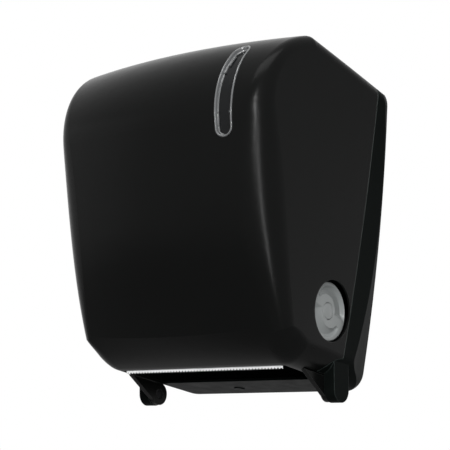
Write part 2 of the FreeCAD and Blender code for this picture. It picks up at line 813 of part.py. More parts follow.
def rearHousing(outer, inner):
    hinge = yz(-size.hingeDepth, size.hingeHeight)
    room = slab((-FAR, -FAR, -FAR), (FAR, -size.backWall, FAR))
    inside = inner.common(bevelBlock(size.shellWall)).common(room)
    behind = seamSide(size.seamGap / 2, False)
    shell = outer.common(bevelBlock(0.0)).cut(inside).common(behind)
    skin = outer.cut(inner)
    for sign in (-1, 1):
        start, end = sorted((sign * size.bossInner, sign * FAR / 2))
        patch = skin.common(roundBar(hinge, size.patchRadius - size.seamGap, start, end))
        eye = sorted((sign * (size.armInner - size.armRelief), sign * size.bossInner))
        shell = shell.cut(roundBar(hinge, size.armEye + size.armRelief, *eye))
        shell = shell.fuse([patch, hingeBoss(sign)])
    shell = drilled(shell, wallScrewPlaces(), size.wallScrewRadius, FAR)
    shell = drilled(shell, footScrewPlaces(), size.screwRadius + size.runningFit, size.shortScrew)
    radius = size.plugRadius + size.runningFit
    plug = Part.makeCylinder(radius, 4 * size.plugTall, Vector(0, 0, -2 * size.plugTall))
    return shell.cut(onFloor(plug)).removeSplitter()


def stripRib(middleX, inner):
    low = (middleX - size.ribHalf, -size.frontDepth, size.ribFoot)
    high = (middleX + size.ribHalf, -size.stripDepth - size.stripWall, size.ribTop)
    rib = slab(low, high).common(inner.copy())
    seat = Vector(middleX, -size.stripDepth - size.stripWall, size.stripScrewHeight)
    return rib.cut(Part.makeCylinder(size.screwRadius + size.runningFit, size.screwLength, seat, yz(-1, 0)))


def frontCover(outer, inner):
    hinge = yz(-size.hingeDepth, size.hingeHeight)
    shell = outer.cut(inner).common(seamSide(-size.seamGap / 2, True))
    reach = size.outletHalf
    outlet = slab((-reach, -size.lipDepth, -FAR), (reach, 0, size.lipHeight + size.floorCorner))
    shell = shell.cut(outlet)
    for sign in (-1, 1):
        sweep = sorted((sign * (size.armOuter + size.seamGap / 4), sign * FAR / 2))
        shell = shell.cut(roundBar(hinge, size.patchRadius, *sweep))
        shell = shell.fuse(hingeArm(sign))
    drum = yz(-size.drumDepth, size.drumHeight)
    shell = shell.cut(roundBar(drum, size.knobHole, 0, FAR / 2))
    shell = shell.cut(windowOutline(size.windowPlay))
    radius = size.lockRadius + size.runningFit
    shell = shell.cut(onTop(Part.makeCylinder(radius, 2 * size.lockTall, Vector(0, 0, -size.lockTall))))
    ribs = [stripRib(step * size.ribPitch, inner) for step in range(-2, 3)]
    return shell.fuse(ribs)


def sightWindow():
    """Clear pane with a raised rim outside, a collar through the wall and a flange behind it."""
    collar = windowOutline(0).cut(windowOutline(-size.windowRim))
    back = size.shellWall + size.windowPlay
    behind = acrossSections(frontProfile, back + size.windowSkin)
    frame = collar.common(acrossSections(frontProfile, -size.windowProud).cut(behind))
    pane = windowOutline(OVERLAP - size.windowRim).common(acrossSections(frontProfile, size.windowPlay))
    pane = pane.cut(acrossSections(frontProfile, size.windowPlay + size.windowSkin))
    flange = windowOutline(size.windowFlange).cut(windowOutline(-size.windowRim))
    flange = flange.common(acrossSections(frontProfile, back).cut(behind))
    return frame.fuse([pane, flange])


outer = hull("outer", 0.0)
inner = hull("inner", size.shellWall)
node("rear_housing", feature("rear_housing", rearHousing(outer, inner)))
node("front_cover", feature("front_cover", frontCover(outer, inner)))
node("sight_window", feature("sight_window", sightWindow()))


# ---- mechanism cheeks, their rods, screws and the paper guide

CHEEK_OUTER = "(cheekInner+cheekWall)"
PRESSURE_HEIGHT = "(drumHeight+drumRadius+pressureGap+pressureRadius)"
SLOT_TOP = f"({PRESSURE_HEIGHT}+blockSide+blockSpringTall)"
TIES = {"front": ("-frontTieDepth", "frontTieHeight"), "rear": ("-rearTieDepth", "rearTieHeight")}
PAWL = ("-drumDepth+pawlAlong", "drumHeight+pawlAside")


def cheek(side):
    sign = SIDES[side]
    start = "cheekInner" if side == "right" else f"-{CHEEK_OUTER}"
    corners = [("-backWall", "cheekLow"), ("-cheekFront+cheekCut", "cheekLow")]
    corners += [("-cheekFront", "cheekLow+cheekCut"), ("-cheekFront", "cheekShoulder")]
    corners += [("-frontTieDepth-cheekNose", "cheekHigh"), ("-backWall", "cheekHigh")]
    holes = [("-drumDepth", "drumHeight", "bushRadius+runningFit")]
    holes += [(y, z, "screwRadius+runningFit") for y, z in TIES.values()]
    if side == "left":
        holes.append((*PAWL, "pawlPin"))
    slot = "(blockSide+blockFit)"
    low = f"{PRESSURE_HEIGHT}-blockSide-blockFit"
    window = [(f"-drumDepth-{slot}", low), (f"-drumDepth+{slot}", low)]
    window += [(f"-drumDepth+{slot}", SLOT_TOP), (f"-drumDepth-{slot}", SLOT_TOP)]
    web = plate(f"cheek_{side}_web", "YZ", start, "cheekWall", corners, holes, [window])
    feet = []
    levels = {"low": ("cheekLow", "cheekLow+footTall"), "high": ("cheekHigh-footTall", "cheekHigh")}
    for place, (low, high) in levels.items():
        ends = ("cheekInner", f"{CHEEK_OUTER}+footReach")
        if side == "left":
            ends = (f"-{CHEEK_OUTER}-footReach", "-cheekInner")
        name = f"cheek_{side}_foot_{place}"
        foot = box(name + "_block", (ends[0], "-backWall-footWall", low), (ends[1], "-backWall", high))
        seat = (f"{sign}*({CHEEK_OUTER}+footReach/2)", "-backWall-footWall-overrun", f"({low}+{high})/2")
        hole = rod(name + "_hole", seat, "screwRadius+runningFit", "footWall+2*overrun", "Y")
        feet.append(without(name, foot, hole))
    return node(f"cheek_{side}", joined(f"cheek_{side}", web, *feet))


def tieBar(place):
    y, z = TIES[place]
    name = f"{place}_tie_bar"
    bar = rod(name + "_stock", ("-cheekInner", y, z), "tieRadius", "2*cheekInner")
    bores = []
    for side, start in (("left", "-cheekInner"), ("right", "cheekInner-screwLength")):
        bores.append(rod(f"{name}_{side}", (start, y, z), "screwRadius+runningFit", "screwLength"))
    return node(name, without(name, bar, *bores))


def tieScrews():
    screws = []
    for place, (y, z) in TIES.items():
        screws.append(screw(f"tie_screw_{place}_left", (f"-{CHEEK_OUTER}", y, z), "X", 1))
        screws.append(screw(f"tie_screw_{place}_right", (CHEEK_OUTER, y, z), "X", -1))
    return node("tie_screws", group("tie_screws", *screws))


def footScrews():
    screws = []
    for side, sign in SIDES.items():
        for place, z in (("low", "cheekLow+footTall/2"), ("high", "cheekHigh-footTall/2")):
            seat = (f"{sign}*({CHEEK_OUTER}+footReach/2)", "-backWall-footWall", z)
            screws.append(screw(f"foot_screw_{side}_{place}", seat, "Y", 1, "shortScrew"))
    return node("foot_screws", group("foot_screws", *screws))


def paperGuide():
    at = ("-cheekInner", "-drumDepth", "drumHeight")
    radius = "guideRadius+guideWall"
    outside = sector("guide_outside", at, radius, "2*cheekInner", size.guideStart, "guideSweep")
    inside = rod("guide_inside", at, "guideRadius", "2*cheekInner")
    return node("paper_guide", without("paper_guide", outside, inside))


for side in SIDES:
    cheek(side)
for place in TIES:
    tieBar(place)
tieScrews()
footScrews()
paperGuide()


# ---- drum, shaft, bushes and grip bands

def shaftBush(side):
    sign = SIDES[side]
    bore = "shaftRadius+runningFit"
    flange = f"{sign}*({CHEEK_OUTER}+bushFlangeWall)"
    seat = f"{sign}*{CHEEK_OUTER}"
    start = f"{sign}*cheekInner"
    profile = [(start, bore), (start, "bushRadius"), (seat, "bushRadius"), (seat, "bushFlange")]
    profile += [(flange, "bushFlange"), (flange, bore)]
    return node(f"shaft_bush_{side}", turned(f"shaft_bush_{side}", profile))


def drumShell(place, start, sweep):
    at = ("-drumHalf", "-drumDepth", "drumHeight")
    name = f"drum_shell_{place}"
    outside = sector(name + "_outside", at, "drumRadius", "2*drumHalf", start, sweep)
    return node(name, without(name, outside, rod(name + "_inside", at, "drumRadius-drumWall", "2*drumHalf")))


KNIFE_PIVOT = ("-drumDepth+knifeAlong*cos(slotDirection)+knifeAside*sin(slotDirection)",
               "drumHeight+knifeAlong*sin(slotDirection)-knifeAside*cos(slotDirection)")


def drumEnd(side):
    sign = SIDES[side]
    start, end = f"{sign}*(drumHalf-drumEnd)", f"{sign}*drumHalf"
    edge, bore = "drumRadius-drumWall-runningFit", "shaftRadius+snugFit"
    disc = turned(f"drum_end_{side}_disc", [(start, bore), (start, edge), (end, edge), (end, bore)])
    low = "drumHalf-drumEnd-overrun" if side == "right" else "-drumHalf-overrun"
    hole = rod(f"drum_end_{side}_hole", (low, *KNIFE_PIVOT), "knifePin+runningFit", "drumEnd+2*overrun")
    return node(f"drum_end_{side}", without(f"drum_end_{side}", disc, hole))


def drumShaft():
    at = ("-shaftLeft", "-drumDepth", "drumHeight")
    stock = rod("drum_shaft_stock", at, "shaftRadius", "shaftLeft+shaftRight")
    boreAt = ("shaftRight-screwLength", "-drumDepth", "drumHeight")
    bore = rod("shaft_bore", boreAt, "screwRadius+snugFit", "screwLength")
    return node("drum_shaft", without("drum_shaft", stock, bore))


def gripBands():
    bands = []
    sweep = 360 - size.slotLead - size.slotTrail
    for step in (-1, 0, 1):
        at = (f"{step}*gripPitch-gripHalf", "-drumDepth", "drumHeight")
        name = f"grip_{step + 2}"
        start = size.slotDirection + size.slotLead
        outside = sector(name + "_outside", at, "drumRadius+gripThick", "2*gripHalf", start, str(sweep))
        bands.append(without(name, outside, rod(name + "_inside", at, "drumRadius+snugFit", "2*gripHalf")))
    return node("grip_bands", group("grip_bands", *bands))


for side in SIDES:
    shaftBush(side)
    drumEnd(side)
drumShell("front", size.slotDirection - 180 + size.drumSplit, "180-slotTrail-drumSplit")
drumShell("rear", size.slotDirection + size.slotLead, "180-slotLead-drumSplit")
drumShaft()
gripBands()


# ---- knife inside the drum, drawn with the slot direction along +Y and then turned into place

def inDrum(thing):
    return tilt(thing, DRUM, Vector(1, 0, 0), "slotDirection")


def knifeCarrier():
    seat = "bladeWall/2"
    corners = [("knifeAlong-knifeWeb", "-knifeAside"), ("knifeAlong", "-knifeAside")]
    corners += [("knifeAlong", seat), ("knifeRest", seat)]
    corners += [("knifeRest", f"{seat}+knifeWeb"), ("knifeAlong-knifeWeb", f"{seat}+knifeWeb")]
    web = plate("knife_carrier_web", "YZ", "-knifeHalf", "2*knifeHalf", corners)
    at = ("-knifeHalf", "knifeAlong", "-knifeAside")
    eye = rod("knife_carrier_eye", at, "knifeEye", "2*knifeHalf")
    bore = rod("knife_carrier_bore", at, "knifePin+snugFit", "2*knifeHalf")
    whole = without("knife_carrier", joined("knife_carrier_stock", web, eye), bore)
    return node("knife_carrier", inDrum(whole))


def knifeBlade():
    body = doc.addObject("PartDesign::Body", "knife_blade")
    half = "knifeHalf"
    corners = [(f"-{half}", "bladeFoot"), (half, "bladeFoot"), (half, "bladeTip"), (f"-{half}", "bladeTip")]
    sketch = outline(body, "knife_blade_outline", "XY", "-bladeWall/2", corners)
    pad = body.newObject("PartDesign::Pad", "knife_blade_pad")
    pad.Profile = sketch
    bind(pad, {"Length": "bladeWall"})
    notch = [(f"-{half}", "bladeTip+overrun"), (f"-{half}", "bladeTip")]
    notch += [(f"-{half}+bladePitch/2", "bladeTip-bladeDepth")]
    notch += [(f"-{half}+bladePitch", "bladeTip"), (f"-{half}+bladePitch", "bladeTip+overrun")]
    teeth = outline(body, "knife_blade_notch", "XY", "0", notch)
    pocket = body.newObject("PartDesign::Pocket", "knife_blade_gullet")
    pocket.Profile = teeth
    pocket.Type = "ThroughAll"
    pocket.Midplane = True
    row = body.newObject("PartDesign::LinearPattern", "knife_blade_row")
    row.Originals = [pocket]
    row.Direction = (teeth, ["H_Axis"])
    bind(row, {"Length": f"2*{half}-bladePitch", "Occurrences": f"floor(2*{half}/bladePitch)"})
    body.Tip = row
    return node("knife_blade", inDrum(body))


def knifePins():
    inside = "knifeHalf-screwLength"
    left = "-(drumHalf+camArmGap+camArmWall)"
    pivot = ("knifeAlong", "-knifeAside")
    pins = [rod("knife_pin_left", (left, *pivot), "knifePin", f"-({inside})-({left})")]
    pins.append(rod("knife_pin_right", (inside, *pivot), "knifePin", f"drumHalf-({inside})"))
    return node("knife_pins", inDrum(group("knife_pins", *pins)))


def camArm():
    """Arm on the knife's left pin that carries the cam follower."""
    start = "-(drumHalf+camArmGap+camArmWall)"
    half = "knifePin"
    foot = ("knifeAlong", "-knifeAside")
    tip = ("followerAlong", "-followerAside")
    corners = [(foot[0] + f"-{half}", foot[1]), (foot[0] + f"+{half}", foot[1])]
    corners += [(tip[0] + f"+{half}", tip[1]), (tip[0] + f"-{half}", tip[1])]
    web = plate("cam_arm_web", "YZ", start, "camArmWall", corners)
    footEye = rod("cam_arm_foot", (start, *foot), "knifeEye", "camArmWall")
    tipEye = rod("cam_arm_tip", (start, *tip), "followerRadius", "camArmWall")
    stub = rod("cam_arm_stub", (f"{start}-camWall+endPlay", *tip), "screwRadius", "camWall")
    bore = rod("cam_arm_bore", (start, *foot), "knifePin+snugFit", "camArmWall")
    stock = joined("cam_arm_stock", web, footEye, tipEye, stub)
    return node("cam_arm", inDrum(without("cam_arm", stock, bore)))


def camFollower():
    start = "-(drumHalf+camArmGap+camArmWall+camWall-endPlay)"
    at = (start, "followerAlong", "-followerAside")
    roller = tube("cam_follower", at, "followerRadius", "screwRadius+runningFit", "camWall-2*endPlay")
    return node("cam_follower", inDrum(roller))


def camRing():
    at = ("-cheekInner", "-drumDepth", "drumHeight")
    boreAt = ("-cheekInner", "-drumDepth+camOffset*cos(slotDirection)",
              "drumHeight+camOffset*sin(slotDirection)")
    bore = rod("cam_ring_bore", boreAt, "camBore", "camWall")
    return node("cam_ring", without("cam_ring", rod("cam_ring_stock", at, "camRadius", "camWall"), bore))


knifeCarrier()
knifeBlade()
knifePins()
camArm()
camFollower()
camRing()


# ---- pressure roller on sprung blocks above the drum

def pressureRoller():
    at = ("-pressureHalf", "-drumDepth", PRESSURE_HEIGHT)
    node("pressure_axle", rod("pressure_axle", at, "pressureAxle", "2*pressureHalf"))
    sleeves = []
    for step in (-1, 0, 1):
        place = (f"{step}*gripPitch-sleeveHalf", "-drumDepth", PRESSURE_HEIGHT)
        name = f"pressure_sleeve_{step + 2}"
        sleeves.append(tube(name, place, "pressureRadius", "pressureAxle+snugFit", "2*sleeveHalf"))
    node("pressure_sleeves", group("pressure_sleeves", *sleeves))


def axleBlock(side):
    start = "blockStart" if side == "right" else "-blockStart-blockLength"
    end = f"{start}+blockLength"
    low = (start, "-drumDepth-blockSide", f"{PRESSURE_HEIGHT}-blockSide")
    high = (end, "-drumDepth+blockSide", f"{PRESSURE_HEIGHT}+blockSide")
    name = f"axle_block_{side}"
    boreAt = (f"{start}-overrun", "-drumDepth", PRESSURE_HEIGHT)
    bore = rod(name + "_bore", boreAt, "pressureAxle+runningFit", "blockLength+2*overrun")
    node(name, without(name, box(name + "_stock", low, high), bore))


def blockSpring(side):
    name = f"block_spring_{side}"
    pitch = "(blockSpringTall-blockSpringWire-4*looseFit)/blockSpringTurns"
    wire = coil(name, "blockSpringRadius-blockSpringWire", "blockSpringWire", pitch, "blockSpringTurns")
    middleX = f"{SIDES[side]}*(blockStart+blockLength/2)"
    at = (middleX, "-drumDepth", f"{PRESSURE_HEIGHT}+blockSide+blockSpringWire/2+2*looseFit")
    node(name, put(wire, at))


pressureRoller()
for side in SIDES:
    axleBlock(side)
    blockSpring(side)


# ---- anti-reverse ratchet and pawl

def ratchetWheel():
    """A toothed disc: one tooth, its steep face straight above the shaft, repeated round the shaft."""
    body = doc.addObject("PartDesign::Body", "ratchet_wheel")
    start = "-ratchetStart-ratchetWall"
    rings = [("0", "0", "ratchetRoot"), ("0", "0", "shaftRadius+snugFit")]
    disc = body.newObject("PartDesign::Pad", "ratchet_disc")
    disc.Profile = outline(body, "ratchet_rings", "YZ", start, circles=rings)
    bind(disc, {"Length": "ratchetWall"})
    sweep = "(360/ratchetTeeth-toothLand)"
    foot = "(ratchetRoot-endPlay)"
    corners = [("0", f"{foot}"), ("0", "ratchetRadius"), (f"-{foot}*sin({sweep})", f"{foot}*cos({sweep})")]
    tooth = body.newObject("PartDesign::Pad", "ratchet_tooth")
    tooth.Profile = outline(body, "ratchet_flank", "YZ", start, corners)
    bind(tooth, {"Length": "ratchetWall"})
    ring = body.newObject("PartDesign::PolarPattern", "ratchet_ring")
    ring.Originals = [tooth]
    ring.Axis = (next(item for item in body.Origin.OriginFeatures if item.Role == "X_Axis"), [""])
    ring.Angle = 360
    bind(ring, {"Occurrences": "ratchetTeeth"})
    body.Tip = ring
    return node("ratchet_wheel", put(body, DRUM))


def pawl():
    """Pawl drawn with its tip in front of the tooth straight above the shaft, then swung clear."""

    def onWheel(radius, angle):
        return (f"({radius})*sin({angle})-pawlAlong", f"({radius})*cos({angle})-pawlAside")

    corners = [onWheel("pawlTip", "pawlLead"), onWheel("ratchetRadius+pawlClear", "pawlKnee")]
    corners += [("0", "looseFit-pawlEye"), ("0", "pawlEye-looseFit")]
    corners += [onWheel("pawlTip+pawlBack", "pawlLead")]
    start = "-ratchetStart-ratchetWall"
    web = plate("pawl_web", "YZ", start, "ratchetWall", corners)
    eye = rod("pawl_eye", (start, "0", "0"), "pawlEye", "ratchetWall")
    bore = rod("pawl_bore", (start, "0", "0"), "pawlPin+runningFit", "ratchetWall")
    finger = without("pawl", joined("pawl_stock", web, eye), bore)
    node("pawl", tilt(finger, ("0", *PAWL), Vector(-1, 0, 0), "pawlLift"))
    end = "(ratchetStart+ratchetWall+endPlay)"
    shank = rod("pawl_pin_shank", (f"-{end}", *PAWL), "pawlPin", f"{end}-cheekInner")
    head = rod("pawl_pin_head", (f"-{end}-axleHeadTall", *PAWL), "pawlEye-1", "axleHeadTall")
    node("pawl_pin", joined("pawl_pin", shank, head))


ratchetWheel()
pawl()


# ---- feed knob

def feedKnob():
    floor = "(knobOuter-knobFloor)"
    pocket = "(knobOuter-knobCapTall+knobCapProud-looseFit)"
    screwSeat = "(shaftRight+knobWeb)"
    shaftEnd = "shaftRight+looseFit"
    rim, cap = "knobRadius-knobRim", "knobCapRadius+looseFit"
    bore, head, shank = "shaftRadius+snugFit", "screwHead+endPlay", "screwRadius+runningFit"
    profile = [("knobHubStart", bore), ("knobHubStart", "knobHub"), (floor, "knobHub"), (floor, rim)]
    profile += [("knobInner", rim), ("knobInner", "knobRadius"), ("knobOuter", "knobRadius")]
    profile += [("knobOuter", cap), (pocket, cap), (pocket, head), (screwSeat, head), (screwSeat, shank)]
    profile += [(shaftEnd, shank), (shaftEnd, bore)]
    blank = turned("feed_knob_blank", profile)
    scoops = []
    at = ("knobOuter-scoopDepth", "-drumDepth", "drumHeight")
    deep = "scoopDepth+overrun"
    for name, start in (("upper", size.scoopStart), ("lower", size.scoopStart + 180)):
        outside = sector(f"scoop_{name}_outside", at, "scoopOuter", deep, start, "scoopSweep")
        inside = rod(f"scoop_{name}_inside", at, "scoopInner", deep)
        scoops.append(without(f"scoop_{name}", outside, inside))
    node("feed_knob", without("feed_knob", blank, *scoops))
    capAt = ("knobOuter-knobCapTall+knobCapProud", "-drumDepth", "drumHeight")
    node("knob_cap", rod("knob_cap", capAt, "knobCapRadius", "knobCapTall"))
    node("knob_screw", screw("knob_screw", (screwSeat, "-drumDepth", "drumHeight"), "X", -1))


feedKnob()


# ---- cover hinge pins

for side, sign in SIDES.items():
    name = f"hinge_pin_{side}"
    recess = "armInner+pinRecess"
    shank = ("-pinReach" if side == "left" else recess, *HINGE[1:])
    head = (f"-({recess})" if side == "left" else f"{recess}-pinHeadTall", *HINGE[1:])
    pieces = [rod(name + "_shank", shank, "hingePin", f"pinReach-({recess})")]
    pieces.append(rod(name + "_head", head, "pinHead", "pinHeadTall"))
    node(name, joined(name, *pieces))


# ---- tear strip and its screws

def tearStrip():
    blank = toothed("tear_strip_blank", "stripHalf", "stripDepth", "stripWall", "stripBottom",
                    "stripBottom+stripTall", "toothPitch", "toothDepth")
    holes = []
    for step in range(-2, 3):
        name = f"tear_strip_hole_{step + 3}"
        at = (f"{step}*ribPitch", "-stripDepth-stripWall-overrun", "stripScrewHeight")
        holes.append(rod(name, at, "screwRadius+runningFit", "stripWall+2*overrun", "Y"))
    node("tear_strip", without("tear_strip", blank, *holes))


tearStrip()


# ---- roll holder: fixed left arm, sprung right arm and a turning hub on each

ROLL = ("-rollDepth", "rollHeight")
AXLE_HOLE = "axleRadius+snugFit"


def rollHub(side):
    sign = SIDES[side]
    rear = f"{sign}*(holderInner-hubGap)"
    step = f"{sign}*(holderInner-hubGap-hubFlangeWall)"
    front = f"{sign}*(holderInner-hubGap-hubLength)"
    bore = "axleRadius+runningFit"
    profile = [(rear, bore), (rear, "hubFlange"), (step, "hubFlange"), (step, "hubRadius")]
    profile += [(front, "hubRadius"), (front, bore)]
    node(f"roll_hub_{side}", turned(f"roll_hub_{side}", profile, ("0", *ROLL)))
    outside = f"{sign}*(holderInner+holderWall)"
    head = f"{sign}*(holderInner+holderWall+axleHeadTall)"
    cap = f"{sign}*(holderInner-hubGap-hubLength-hubGap)"
    end = f"{sign}*(holderInner-hubGap-hubLength-hubGap-axleHeadTall)"
    profile = [(head, "0"), (head, "axleHead"), (outside, "axleHead"), (outside, "axleRadius")]
    profile += [(cap, "axleRadius"), (cap, "axleHead"), (end, "axleHead"), (end, "0")]
    node(f"hub_axle_{side}", turned(f"hub_axle_{side}", profile, ("0", *ROLL)))


def holderNose():
    """Bevelled front end of a roll arm, from its lower edge to its upper one."""
    low, high = "rollHeight-holderTall/2", "rollHeight+holderTall/2"
    tip = "-rollDepth-holderTip"
    nose = [(f"{tip}+holderBevel", low), (tip, f"{low}+holderBevel")]
    return nose + [(tip, f"{high}-holderBevel"), (f"{tip}+holderBevel", high)]


def rollArmLeft():
    low, high = "rollHeight-holderTall/2", "rollHeight+holderTall/2"
    corners = [("-backWall", low)] + holderNose() + [("-backWall", high)]
    holes = [(*ROLL, AXLE_HOLE)]
    web = plate("roll_arm_left_web", "YZ", "-holderInner-holderWall", "holderWall", corners, holes)
    foot = box("roll_arm_left_foot", ("-holderInner-holderWall-footReach", "-backWall-footWall", low),
               ("-holderInner", "-backWall", high))
    node("roll_arm_left", joined("roll_arm_left", web, foot))


def rollArmRight():
    pivot = ("holderInner+holderWall/2", "-holderPivot")
    low, high = "rollHeight-knuckleTall/2", "rollHeight+knuckleTall/2"
    neck, flare = "-holderPivot-holderNeck", "-holderPivot-holderNeck-holderFlare"
    foot, crown = f"{low}+endPlay", f"{high}-endPlay"
    corners = [("-holderPivot", foot), (neck, foot), (flare, "rollHeight-holderTall/2")] + holderNose()
    corners += [(flare, "rollHeight+holderTall/2"), (neck, crown), ("-holderPivot", crown)]
    web = plate("roll_arm_right_web", "YZ", "holderInner", "holderWall", corners, [(*ROLL, AXLE_HOLE)])
    at = (*pivot, foot)
    knuckle = rod("roll_arm_right_knuckle", at, "knuckleRadius", f"{crown}-({foot})", "Z")
    bore = rod("roll_arm_right_bore", at, "holderPin+runningFit", f"{crown}-({foot})", "Z")
    node("roll_arm_right", without("roll_arm_right", joined("roll_arm_right_stock", web, knuckle), bore))
    baseLow = (f"{pivot[0]}-bracketHalf", "-backWall-bracketWall", f"{low}-earTall")
    baseHigh = (f"{pivot[0]}+bracketHalf", "-backWall", f"{high}+earTall")
    pieces = [box("arm_bracket_base", baseLow, baseHigh)]
    for name, start in (("low", f"{low}-earTall"), ("high", high)):
        earLow = (f"{pivot[0]}-knuckleRadius", "-holderPivot-knuckleRadius", start)
        earHigh = (f"{pivot[0]}+knuckleRadius", "-backWall", f"{start}+earTall")
        pieces.append(box("arm_bracket_ear_" + name, earLow, earHigh))
    pinAt = (*pivot, f"{low}-earTall")
    hole = rod("arm_bracket_hole", pinAt, "holderPin+snugFit", "knuckleTall+2*earTall", "Z")
    node("arm_bracket", without("arm_bracket", joined("arm_bracket_stock", *pieces), hole))
    node("arm_pin", rod("arm_pin", pinAt, "holderPin", "knuckleTall+2*earTall", "Z"))


for side in SIDES:
    rollHub(side)
rollArmLeft()
rollArmRight()


# ---- lock in the sloping top, drawn with the top's normal along +Z and then tilted

LOCK = ("0", "-lockDepth", "rolloverHeight+ridgeRise-(ridgeDepth-lockDepth)*tan(topSlope)")


def onLock(thing):
    return tilt(thing, LOCK, Vector(-1, 0, 0), "topSlope")


def lock():
    bore = rod("lock_bore", ("0", "0", "-lockTall-overrun"), "lockCore+runningFit",
               "lockTall+lockFlangeTall+2*overrun", "Z")
    barrel = rod("lock_barrel", ("0", "0", "-lockTall"), "lockRadius", "lockTall", "Z")
    flange = rod("lock_flange", ("0", "0", "looseFit"), "lockFlange", "lockFlangeTall", "Z")
    neck = rod("lock_neck", ("0", "0", "-overrun"), "lockRadius", "2*overrun", "Z")
    node("lock_body", onLock(without("lock_body", joined("lock_body_stock", barrel, neck, flange), bore)))
    nutAt = ("0", "0", "-shellWall-2*looseFit-nutTall")
    node("lock_nut", onLock(tube("lock_nut", nutAt, "nutRadius", "lockRadius+snugFit", "nutTall", "Z")))
    coreTall = "lockTall+lockFlangeTall+2*looseFit"
    core = rod("lock_core_stock", ("0", "0", "-lockTall"), "lockCore", coreTall, "Z")
    slotLow = ("-keyHalf", "-keySlot/2", "-lockTall/3")
    slot = box("lock_core_slot", slotLow, ("keyHalf", "keySlot/2", "lockFlangeTall+overrun"))
    node("lock_core", onLock(without("lock_core", core, slot)))
    low = "-lockTall-tongueWall"
    stripLow = ("-lockCore-lockFlangeTall", "-tongueHalf", low)
    strip = box("lock_tongue_strip", stripLow, ("tongueReach", "tongueHalf", "-lockTall"))
    hookLow = ("tongueReach-hookWall", "-tongueHalf", low)
    hook = box("lock_tongue_hook", hookLow, ("tongueReach", "tongueHalf", "-lockTall+hookTall"))
    node("lock_tongue", onLock(joined("lock_tongue", strip, hook)))
    inside = "strikerAt+strikerWall"
    bladeLow = ("-strikerHalf", "strikerAt", "-strikerSeat-strikerTall")
    blade = box("lock_striker_blade", bladeLow, ("strikerHalf", inside, "-strikerSeat"))
    seatLow = ("-strikerHalf", "strikerAt", "-strikerSeat-strikerWall")
    seat = box("lock_striker_seat", seatLow, ("strikerHalf", "strikerAt+strikerFlange", "-strikerSeat"))
    node("lock_striker", onLock(joined("lock_striker", blade, seat)))


lock()


# ---- floor plug, tear strip screws

def floorPlug():
    body = rod("floor_plug_stock", ("0", "0", "-plugProud"), "plugRadius", "plugTall", "Z")
    height = "lipHeight-(lipDepth-plugDepth)*tan(floorSlope)"
    at = ("-plugAside", "-plugDepth", height)
    node("floor_plug", tilt(group("floor_plug", body), at, Vector(-1, 0, 0), "floorSlope"))


def stripScrews():
    screws = []
    for step in range(-2, 3):
        seat = (f"{step}*ribPitch", "-stripDepth", "stripScrewHeight")
        screws.append(screw(f"strip_screw_{step + 3}", seat, "Y", -1, "shortScrew"))
    node("strip_screws", group("strip_screws", *screws))


floorPlug()
stripScrews()


# ---- recompute, check and write

def checkDocument():
    doc.recompute()
    for thing in doc.Objects:
        if "Invalid" in thing.State or "Error" in thing.State:
            raise RuntimeError(f"{thing.Name} failed to recompute: {thing.State}")
    labels = [thing.Label for thing in nodes]
    if len(set(labels)) != len(labels):
        raise RuntimeError("two nodes share a name")
    for thing in nodes:
        if thing.Shape.isNull() or not thing.Shape.isValid() or not thing.Shape.Solids:
            raise RuntimeError(f"{thing.Label} has no valid solid")


checkDocument()
os.makedirs("parts", exist_ok=True)
for thing in nodes:
    thing.Shape.exportStep(os.path.join("parts", thing.Label + ".step"))
    print(f"{thing.Label:22s} solids {len(thing.Shape.Solids)}  volume {thing.Shape.Volume:12.1f}")
print(len(nodes), "nodes")
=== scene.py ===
import bpy
import bmesh
import json
import math
import numpy as np
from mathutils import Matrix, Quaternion, Vector


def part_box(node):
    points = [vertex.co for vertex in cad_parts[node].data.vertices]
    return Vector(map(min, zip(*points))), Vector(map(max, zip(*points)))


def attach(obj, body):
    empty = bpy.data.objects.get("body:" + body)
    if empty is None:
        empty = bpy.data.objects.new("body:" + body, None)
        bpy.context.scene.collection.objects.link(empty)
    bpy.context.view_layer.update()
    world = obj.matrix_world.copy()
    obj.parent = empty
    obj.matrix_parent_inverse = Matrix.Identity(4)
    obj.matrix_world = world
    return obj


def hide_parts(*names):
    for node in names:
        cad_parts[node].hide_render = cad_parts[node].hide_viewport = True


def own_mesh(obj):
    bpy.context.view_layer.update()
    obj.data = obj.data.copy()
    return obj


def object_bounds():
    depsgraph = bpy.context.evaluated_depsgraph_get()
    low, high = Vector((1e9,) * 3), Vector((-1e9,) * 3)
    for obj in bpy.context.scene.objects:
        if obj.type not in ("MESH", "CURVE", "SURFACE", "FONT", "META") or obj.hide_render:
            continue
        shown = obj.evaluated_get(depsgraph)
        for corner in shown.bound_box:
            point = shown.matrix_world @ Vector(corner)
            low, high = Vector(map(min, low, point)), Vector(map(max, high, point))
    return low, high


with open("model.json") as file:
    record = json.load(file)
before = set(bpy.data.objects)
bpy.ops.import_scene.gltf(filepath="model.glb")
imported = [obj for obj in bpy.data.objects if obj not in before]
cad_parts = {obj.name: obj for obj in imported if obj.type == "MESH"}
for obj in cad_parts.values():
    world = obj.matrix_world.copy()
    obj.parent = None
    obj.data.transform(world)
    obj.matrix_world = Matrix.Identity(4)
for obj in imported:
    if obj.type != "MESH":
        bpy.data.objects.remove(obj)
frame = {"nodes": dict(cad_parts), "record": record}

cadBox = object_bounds()
mm = 0.001
print("frame loaded:", len(frame["nodes"]), "nodes")


def newMaterial(name):
    material = bpy.data.materials.new(name)
    material.use_nodes = True
    return material, material.node_tree, material.node_tree.nodes["Principled BSDF"]


